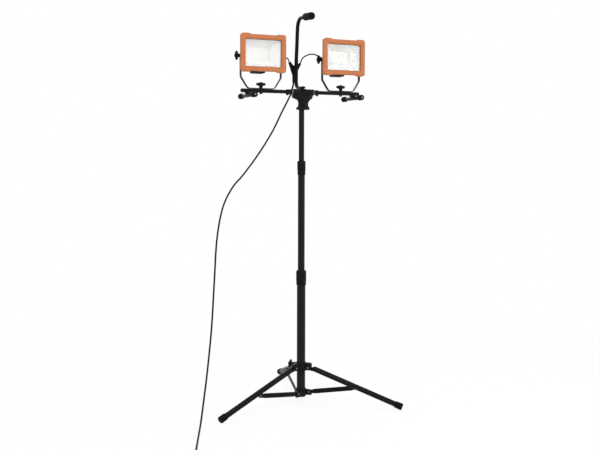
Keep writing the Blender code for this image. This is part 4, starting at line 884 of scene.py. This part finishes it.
def swept(path):
    points = [Vector((0, y, z)) for y, z, _, _ in path]
    rings = []
    for i, (_, _, half_w, half_h) in enumerate(path):
        before, after = points[max(i - 1, 0)], points[min(i + 1, len(points) - 1)]
        over = Vector((1, 0, 0)).cross((after - before).normalized())
        square = 0.55 + 0.45 * min(1.0, half_h / half_w)
        rings.append([points[i] + Vector((half_w * squared(c, square), 0, 0))
                      + over * half_h * squared(s, square) for c, s in around(48)])
    return rings


def handle():
    at = BAR @ SHIFT((HEAD_X, 0, 0))
    mouth = [[(0.0068 * c, y, 0.0183 + 0.0034 * s) for c, s in around(32)] for y in (-0.020, -0.003)]
    part("handle_tube", loft(swept(handle_path())), PAINT, "head", at, [cut(loft(mouth))], bevel=0.0003)
    screw("handle_screw", 0.004, 0.0016, "head", at @ SHIFT((0, 0.010, 0.023)))
    bore, long = HANDLE_R + 0.0004, GRIP_LENGTH
    profile = [(bore, long - 0.005), (bore, 0.0), (0.0118, 0.0), (0.0134, 0.0006), (GRIP_R, 0.0026)]
    profile += [(GRIP_R - 0.0002 * math.sin(math.pi * i / 8), 0.0026 + (long - 0.010) * i / 8)
                for i in range(1, 9)]
    profile += [(GRIP_R - inset, long - back)
                for inset, back in mm([(0.6, 4), (1.8, 2.2), (4.2, 0.8), (8, 0)])]
    drop = math.atan2(GRIP_REAR_UP - GRIP_FRONT_UP, GRIP_LENGTH)
    grip_at = at @ SHIFT((0, GRIP_REAR, GRIP_REAR_UP)) @ turn(180, "Z") @ Matrix.Rotation(-drop, 4, "X")
    grip = part("handle_grip", turned(profile, 64, axis="Y"), FOAM, "head", grip_at, bevel=0)


def splitter():
    """A flat Y with a ribbed neck, where the mains lead divides."""
    middle = 0.0385
    outline = mm([(-4, 0), (4, 0), (6, 24), (28.5, 75.5), (21.5, 79), (13.5, 70), (0, 64), (-13.5, 70),
                  (-21.5, 79), (-28.5, 75.5), (-6, 24)])
    rings = [[(x * k, y, middle + (z - middle) * (0.5 + 0.5 * k)) for x, z in outline]
             for y, k in mm([(-5, 0.82), (-2.5, 1.0), (2.5, 1.0), (5, 0.82)], 1)]
    neck = mm([(4, -4), (4.5, -3.6)])
    neck += ribs(6, -0.0026, 0.0038, 0.0048, mm([(0, 0), (0.1, 2), (-0.5, 2.5), (-0.4, 3.3)]))
    neck += mm([(6.2, 20.5), (5, 25.5), (3, 28.5)])
    at = BAR @ SHIFT((SPLITTER_X, SPLITTER_Y, SPLITTER_FOOT_Z)) @ turn(SPLITTER_LEAN, "Y")
    part("y_splitter", loft(rings), RUBBER, "head", at, [add(turned(neck, 40))], "black_plastic",
         bevel=0.0012)


# ---- Lamps ----------------------------------------------------------------------------------
def frame_outline(width, height, radius, drop):
    """A lamp frame's outline: between its corner pads its top and bottom edges step in by drop."""
    points = []
    inner_x = width / 2 - PAD_LENGTH
    for k, (sx, sy) in enumerate(CORNERS):
        pad = []
        for i in range(7):
            t = i / 6
            pad.append((sx * (inner_x - 0.0065 * t), sy * (height / 2 - drop * t * t * (3 - 2 * t))))
        bend = arc(sx * (width / 2 - radius), sy * (height / 2 - radius), radius, 90 * (k - 1), 90, 8)
        points += pad[::-1] + bend if k % 2 == 0 else bend + pad
    return points


def bezel(where, at, body):
    rows = [(FRAME_BACK - y, FRAME_W + d, FRAME_H + d, FRAME_CORNER, PAD_RISE)
            for y, d in mm([(0, -2), (0.5, -0.6), (1.4, 0)])]
    for i in range(6):
        a = math.radians(90 * i / 5)
        inset = 0.0046 * (1 - math.cos(a))
        rows.append((FRAME_FRONT + 0.0046 * (1 - math.sin(a)), FRAME_W - 2 * inset, FRAME_H - 2 * inset,
                     FRAME_CORNER - inset * 0.6, PAD_RISE * (1 - 0.1 * i / 5)))
    seat = mm([(0, 14, 7, 0.4), (0.5, 12.8, 6.5, 0), (0.6, 9, 6, 0), (3.2, 0.6, 4.2, 0), (4, 0, 4, 0),
               (8.6, 0, 4, 0), (8.6, 6.6, 5, 0), (15, 6.6, 5, 0)])
    rows += [(FRAME_FRONT + y, WINDOW_W + d, WINDOW_H + d, r, drop) for y, d, r, drop in seat]
    rings = [upright(frame_outline(w, h, r, drop), y, LAMP_MID) for y, w, h, r, drop in rows]
    part(f"bezel_{where}", loft(rings, True), ORANGE, body, at, bevel=0, smooth=30)


def faceted_tray(where, at, body):
    """The reflector: four walls in stepped flats, with fine steps along each."""
    front, back, wall, steps = FRAME_FRONT + 0.0135, 0.005, 0.0009, 4
    inner, outer = [], []
    for i in range(steps + 1):
        t = i / steps
        bulge = 0.0045 * math.sin(math.pi * t)
        y, w, h = back + (front - back) * t, 0.076 + 0.071 * t + bulge, 0.050 + 0.050 * t + bulge
        ring = []
        for (sx, sy), along in zip(CORNERS, (1, 0, 1, 0)):
            count = 4 if along else 6
            x0, z0 = sx * w / 2, sy * h / 2
            x1, z1 = (x0, -z0) if along else (-x0, z0)
            ring += [(x0 + (x1 - x0) * k / count, z0 + (z1 - z0) * k / count) for k in range(count)]
        inner.append(upright(ring, y, LAMP_MID))
        skin = [(x * (w + 2 * wall) / w, z * (h + 2 * wall) / h) for x, z in ring]
        outer.append(upright(skin, y, LAMP_MID))
    part(f"reflector_{where}", loft(inner + outer[::-1], True), TRAY, body, at, bevel=0, smooth=6)


def led_board(where, at, body):
    part(f"led_board_{where}", panel(mm([(8.2, 84, 58, 2), (6, 84, 58, 2)])), BOARD, body, at)
    chips = bmesh.new()
    for i in range(8):
        for k in range(5):
            x, z = (i - 3.5) * 0.0074, LAMP_MID + (k - 2) * 0.0086
            one = loft([[(x + sx * half, y, z + sz * half) for sx, sz in SQUARE]
                        for y, half in mm([(6, 2.9), (5.3, 2.9), (5.1, 2.2)])])
            data = bpy.data.meshes.new("chip")
            one.to_mesh(data)
            one.free()
            chips.from_mesh(data)
            bpy.data.meshes.remove(data)
    piece(f"led_chips_{where}", chips, CHIP, body, at, bevel=0, slot="led_board")


def corner_screws(name, half_w, half_h, y, z, radius, tall, body, at):
    for k, (sx, sz) in enumerate(SQUARE):
        place = SHIFT((sx * half_w, y, z + sz * half_h))
        screw(f"{name}_{k}", radius, tall, body, at @ place @ turn(-90, "X"), STEEL)


def fin(x):
    """An upright fin, lower away from the housing's middle and at its ends."""
    root = HOUSING_BACK - 0.003
    tip = FIN_BACK - 0.006 * (abs(x) / (FIN_COUNT / 2 * FIN_PITCH)) ** 2
    ends = [(-49, 0.45), (-46.5, 0.72), (-42, 0.93), (-38, 1.0)]
    rings = []
    for z, tall in mm(ends + [(-z, tall) for z, tall in reversed(ends)], 1):
        top = root + (tip - root) * tall
        half = [(0.5, root), (0.30, top - 0.0004), (0.16, top)]
        outline = [(-k, y) for k, y in half] + half[::-1]
        rings.append([(x + k * FIN_THICK, y, LAMP_MID + z) for k, y in outline])
    return loft(rings)


def housing(where, at, body):
    front = FRAME_BACK + CLEAR
    rows = [(0.0086, 0.151, 0.104, 0.003), (front, 0.151, 0.104, 0.003)]
    rows += [(y, HOUSING_W - dw, HOUSING_H - dh, r) for y, (dw, dh, r) in zip(
        (front, front + 0.004, front + 0.005, -0.006, HOUSING_BACK - 0.004, HOUSING_BACK - 0.001,
         HOUSING_BACK), mm([(0, 0, 8), (0, 0, 8), (3, 6, 8), (6, 11, 8), (11, 18, 7.5), (13.5, 20.5, 7), (17, 24, 6)]))]
    across = [(i + 0.5 - FIN_COUNT / 2) * FIN_PITCH for i in range(FIN_COUNT)]
    changes = [add(fin(x)) for x in across if abs(x) >= BOX_HALF + 0.001]
    for end in (-1, 1):
        tip = ARM_HALF - ARM_THICK / 2 - 0.0004
        changes.append(add(turned([(0.010, end * 0.076), (0.009, end * 0.0822), (0.0084, end * tip)], 40,
                                  axis="X")))
    changes.append(cut(rod(0.0034, -0.090, -0.0772, "X")))
    part(f"housing_{where}", panel(rows), CAST, body, at, changes)
    corner_screws(f"housing_screw_{where}", HOUSING_W / 2 - 0.0046, HOUSING_H / 2 - 0.005, front + 0.0046,
                  LAMP_MID, 0.0031, 0.002, body, at)


def terminal_box(where, at, body):
    rows = [(HOUSING_BACK + CLEAR, BOX_HALF * 2, BOX_TALL, 0.004)]
    rows += [(BOX_BACK - y, BOX_HALF * 2 + d, BOX_TALL + d, r) for y, d, r in mm([
        (6.4, 0, 4), (6.4, -1, 4), (5.6, -1, 4), (5.4, 2, 5), (1.6, 2, 5), (0.6, 1, 4.8), (0.2, -1, 4),
        (0.2, -16, 4), (1, -18, 4)])]
    shape = loft([upright(rounded_outline(w, h, r), y, BOX_Z) for y, w, h, r in rows])
    part(f"terminal_box_{where}", shape, CAST, body, at, bevel=0.0003)
    corner_screws(f"box_screw_{where}", BOX_HALF - 0.0042, BOX_TALL / 2 - 0.0042, BOX_BACK - 0.0012, BOX_Z,
                  0.0027, 0.001, body, at)


def gland(where, side, at, body):
    nut = turned(mm([(7, 2.4), (7.6, 2.8), (7.6, 8.2), (7, 8.6)]), 6, axis="X")
    cap = mm([(6.6, 0), (6.6, 2.6), (6.6, 8.4), (7, 9.2), (7, 13.4), (6.4, 15), (5.6, 16.8), (4.6, 17.8),
              (3.6, 18)])
    place = SHIFT((-side * (BOX_HALF + CLEAR), GLAND_Y, GLAND_Z)) @ turn(0 if side < 0 else 180, "Z")
    part(f"gland_{where}", turned(cap, 36, axis="X"), PLASTIC, body, at @ place, [add(nut)], bevel=0.0003)


def bracket_path():
    """Half of a bracket's middle line: its foot, its knee and its arm up to the pivot."""
    foot_z, knee_z = BRACKET_FOOT - PIVOT_UP, 0.0483 - PIVOT_UP
    path = [(0.0, foot_z), (0.048, foot_z)]
    for i in range(6):
        t = i / 5
        path.append((0.050 + 0.011 * t, foot_z + 0.0068 * t * t))
    for i in range(6):
        t = i / 5
        path.append((ARM_HALF - 0.003 * (1 - t) ** 2, knee_z + 0.0092 * t))
    return path + [(ARM_HALF, -0.007)]


def bracket(where, at, body):
    half = [(x, z, ARM_WIDTH / 2) for x, z in bracket_path()]
    for i in range(1, 9):
        a = math.radians(90 * i / 8 * 0.94)
        half.append((ARM_HALF, -0.007 + 0.015 * math.sin(a), ARM_WIDTH / 2 * math.cos(a) ** 0.8))
    path = [(-x, z, w) for x, z, w in reversed(half)] + half[1:]
    rings = []
    for i, (x, z, w) in enumerate(path):
        before, after = path[max(i - 1, 0)], path[min(i + 1, len(path) - 1)]
        ahead = Vector((after[0] - before[0], 0, after[1] - before[1])).normalized()
        over = Vector((-ahead.z, 0, ahead.x)) * ARM_THICK / 2
        middle, wide = Vector((x, 0, z)), Vector((0, max(w, 0.0012), 0))
        rings.append([middle + u * over + v * wide for u, v in ((-1, -1), (-1, 1), (1, 1), (1, -1))])
    holes = [cut(rod(0.0034, -0.095, -0.075, "X")),
             cut(rod(0.0034, -PIVOT_UP - 0.010, -PIVOT_UP + 0.030))]
    part(f"bracket_{where}", loft(rings), PAINT, body, at, holes)


def lamp(where, side):
    stud = BAR @ SHIFT((side * LAMP_X, 0, 0))
    tilt = stud @ SHIFT((0, 0, PIVOT_UP))
    body = f"lamp_{where}"
    bezel(where, tilt, body)
    y0 = FRAME_FRONT + 0.009
    glass = panel([(y, WINDOW_W + 0.0058, WINDOW_H + 0.0058, 0.0046) for y in (y0, y0 + 0.004)])
    part(f"glass_{where}", glass, GLASS, body, tilt)
    seal = [(y, WINDOW_W + d, WINDOW_H + d, 0.004)
            for d, y in ((0.0052, y0 + 0.0041), (0.0052, FRAME_BACK - 0.0001),
                         (0.0004, FRAME_BACK - 0.0001), (0.0004, y0 + 0.0041))]
    piece(f"gasket_{where}", panel(seal, True), RUBBER, body, tilt, bevel=0.0003, slot="black_rubber")
    faceted_tray(where, tilt, body)
    led_board(where, tilt, body)
    housing(where, tilt, body)
    terminal_box(where, tilt, body)
    gland(where, side, tilt, body)
    outside = ARM_HALF + ARM_THICK / 2
    wing_knob(f"tilt_knob_{where}", 0.0788, outside + 0.0004, 0.0178, tilt @ turn(-90, "Y"),
              f"tilt_{where}_knob")
    screw(f"pivot_screw_{where}", 0.0062, 0.0036, body,
          tilt @ SHIFT((outside + 0.0003, 0, 0)) @ turn(90, "Y"))
    bracket(where, tilt, f"bracket_{where}")
    head = BAR_R + 0.0004
    bolt = [(0.004, -head - 0.0048), (0.0056, -head - 0.0042), (0.0062, -head - 0.0034), (0.0062, -head),
            (0.0029, -head), (0.0029, 0.0225), (0.0022, 0.0235)]
    part(f"bracket_bolt_{where}", turned(bolt, 40), DARK_STEEL, "head", stud, (), "black_tube", bevel=0.0002)
    base = BRACKET_FOOT + ARM_THICK / 2 + 0.0004
    wing_knob(f"bracket_knob_{where}", 0.0, base, 0.0205, stud, f"bracket_{where}_knob", bore=0.0033)


# ---- Cords ----------------------------------------------------------------------------------
def smooth_route(points, step):
    """Evenly spaced points on a smooth curve through a route's points."""
    fine = [Vector(p) for p in flowing(points, 24)]
    along = np.concatenate([[0.0], np.cumsum([(q - p).length for p, q in zip(fine, fine[1:])])])
    even = np.linspace(0, along[-1], max(int(round(along[-1] / step)), 2) + 1)
    columns = [np.interp(even, along, [p[k] for p in fine]) for k in range(3)]
    return [tuple(map(float, p)) for p in zip(*columns)]


def coil_route():
    """Flat turns inwards on the floor, and turns outwards on top of them, to the plug."""
    per_turn = 24
    count, climb = int(COIL_TURNS * per_turn), per_turn // 2
    centre = Vector((*COIL_PLACE, 0))
    inner = COIL_RADIUS - COIL_STEP * COIL_TURNS / 2
    outer = COIL_RADIUS + COIL_STEP * COIL_TURNS / 2
    low = MAINS_D / 2 + 0.0003
    sweep = 2 * math.pi * COIL_TURNS
    start = math.radians(COIL_START)
    turned_in = start + sweep
    turned_up = turned_in + math.pi
    polar = [(start + sweep * i / count, outer + (inner - outer) * i / count, low) for i in range(count + 1)]
    polar += [(turned_in + 2 * math.pi * i / per_turn, inner - 0.0016 * math.sin(math.pi * i / climb),
               low + COIL_LAYER * (0.5 - 0.5 * math.cos(math.pi * i / climb))) for i in range(1, climb)]
    polar += [(turned_up + sweep * i / count, inner + (outer - inner) * i / count, low + COIL_LAYER)
              for i in range(count + 1)]
    points = [centre + Vector((r * math.cos(a), r * math.sin(a), z)) for a, r, z in polar]
    end = points[-1]
    ahead = end - points[-2]
    ahead.z = 0
    ahead.normalize()
    for i in range(1, 6):
        share = i / 5
        rise = 0.5 - 0.5 * math.cos(math.pi * min(share * 1.25, 1.0))
        place = end + ahead * (PLUG_TAIL * share)
        points.append(Vector((place.x, place.y, end.z + (PLUG_AXIS_Z - end.z) * rise)))
    return points, ahead


def in_row(p):
    """A point of the mast's frame, in the scene's."""
    return (p[0] + MAST[0], p[1] + MAST[1], p[2])


def cord(name, points, diameter, node, with_pieces=()):
    """A round cord through points that are in the mast's frame, made into one fixed mesh, which hides the CAD nodes it
    stands for."""
    curve = bpy.data.curves.new(name, "CURVE")
    curve.dimensions = "3D"
    curve.bevel_depth, curve.bevel_resolution = diameter / 2, 5
    curve.use_fill_caps = True
    spline = curve.splines.new("POLY")
    spline.points.add(len(points) - 1)
    for point, place in zip(spline.points, points):
        point.co = (*in_row(place), 1.0)
    drawn = bpy.data.objects.new("drawn", curve)
    bpy.context.scene.collection.objects.link(drawn)
    bpy.context.view_layer.update()
    data = bpy.data.meshes.new_from_object(drawn.evaluated_get(bpy.context.evaluated_depsgraph_get()))
    bpy.data.objects.remove(drawn, do_unlink=True)
    dress(data, JACKET, 50)
    made = bpy.data.objects.new(name, data)
    bpy.context.scene.collection.objects.link(made)
    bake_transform(made)
    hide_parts(*node)


def coil_tie():
    """A strap round the coil's turns."""
    low, high, inner, outer, wide, thick = 0.00028, 0.016, 0.0238, 0.0518, 0.007, 0.001
    middle = (inner + outer) / 2
    hole = [(x + middle, z + (low + high) / 2) for x, z in rounded_outline(outer - inner, high - low, 0.004)]
    skin = [(x + middle, z + (high + thick) / 2 + 0.00002)
            for x, z in rounded_outline(outer - inner + 0.0018, high + thick, 0.0048)]
    rings = [upright(line, y) for line, y in ((skin, -wide / 2), (skin, wide / 2), (hole, wide / 2),
                                              (hole, -wide / 2))]
    buckle = block(outer - 0.012, outer - 0.003, -0.0046, 0.0046, high + 0.0004, high + 0.0028, 0.0008)
    return piece("coil_tie", loft(rings, True), RUBBER, "stand",
                 STAND @ SHIFT((*COIL_PLACE, 0)) @ turn(COIL_START + 170, "Z"), [add(buckle)], bevel=0.0002)


def lamp_lead(where, route):
    """A lamp's lead in two stretches, which meet on the bracket."""
    points = smooth_route(route, 0.003)
    if where == "right":
        points = points[::-1]
    half = len(points) // 2
    gland_end, middle, tip = points[0], points[half], points[-1]
    for stretch, run, bodies, span in (
            ("outer", points[:half + 1], (f"bracket_{where}", f"lamp_{where}"), (middle, gland_end)),
            ("inner", points[half:], ("head", f"bracket_{where}"), (tip, middle))):
        cord(f"lead_{where}_{stretch}", run, LEAD_D, [f"lead_{where}"])


def mains_plug(at):
    boot = mm([(4, 0), (4.8, 0.4)])
    boot += ribs(5, 0.002, 0.0036, 0.005, mm([(0, 0), (0, 1.8), (-0.7, 2.2), (-0.7, 3.2)]))
    boot += mm([(6.2, 20), (8, 21.5), (12, 24.5), (16, 29), (18.4, 35), (19.3, 42), (19.5, 54), (19.2, 56.8),
                (18.4, 58)])
    grips = []
    for y0, y1 in ((-0.023, -0.0186), (0.0186, 0.023)):
        for i in range(4):
            x = 0.038 + 0.0036 * i
            grips.append(cut(block(x, x + 0.0014, y0, y1, -0.009, 0.009)))
    made = [part("mains_plug", turned(boot, 64, axis="X"), RUBBER, "stand", at, grips, "black_plastic",
                 bevel=0.0003)]
    for where, side in (("right", -1), ("left", 1)):
        pin = turned(mm([(2.4, 57.5), (2.4, 74.5), (2.1, 75.8), (1.2, 76.8)]), 28, axis="X")
        made.append(piece(f"plug_pin_{where}", put(pin, 0, side * 0.0095, 0), STEEL, "stand", at, bevel=0))
    return made


def mains_lead():
    """The mains lead in three stretches, which meet on the mast's middle and top tubes."""
    coil, plug_way = coil_route()
    lead_in = (coil[0] - coil[1]).normalized()
    start = coil[0] + lead_in * (MAINS_D + CLEAR)
    route = smooth_route(MAINS_ROUTE + [tuple(start + lead_in * d) for d in (0.060, 0.030, 0.0)], 0.008)
    whole = [(x, y, max(z, MAINS_D / 2 + CLEAR)) for x, y, z in route] + [tuple(p) for p in coil]
    at_top, at_mid = (next(i for i, p in enumerate(whole) if p[2] < z) for z in (TOP_JOIN_Z, MID_JOIN_Z))
    cord("mains_lead_top", whole[:at_top + 1], MAINS_D,
         ["mains_lead"])
    cord("mains_lead_middle", whole[at_top:at_mid + 1], MAINS_D,
         ["mains_lead"])
    heading = math.degrees(math.atan2(plug_way.y, plug_way.x))
    plug = mains_plug(STAND @ SHIFT(coil[-1] + plug_way * CLEAR) @ turn(heading, "Z"))
    cord("mains_lead_low", whole[at_mid:], MAINS_D,
         ["mains_lead", "mains_coil"], plug + [coil_tie()])


tripod()
mast()
t_head()
bar_collar("bar_collar_left", -0.0678, HEAD_X - HEAD_HALF - 0.001, False)
bar_collar("bar_collar_right", HEAD_X + HEAD_HALF + 0.001, 0.074, True)
crossbar()
for where, side in SIDES:
    cross_foot(where, side)
handle()
splitter()
for where, side in SIDES:
    lamp(where, side)
lamp_lead("left", LEAD_LEFT)
lamp_lead("right", LEAD_RIGHT)
mains_lead()
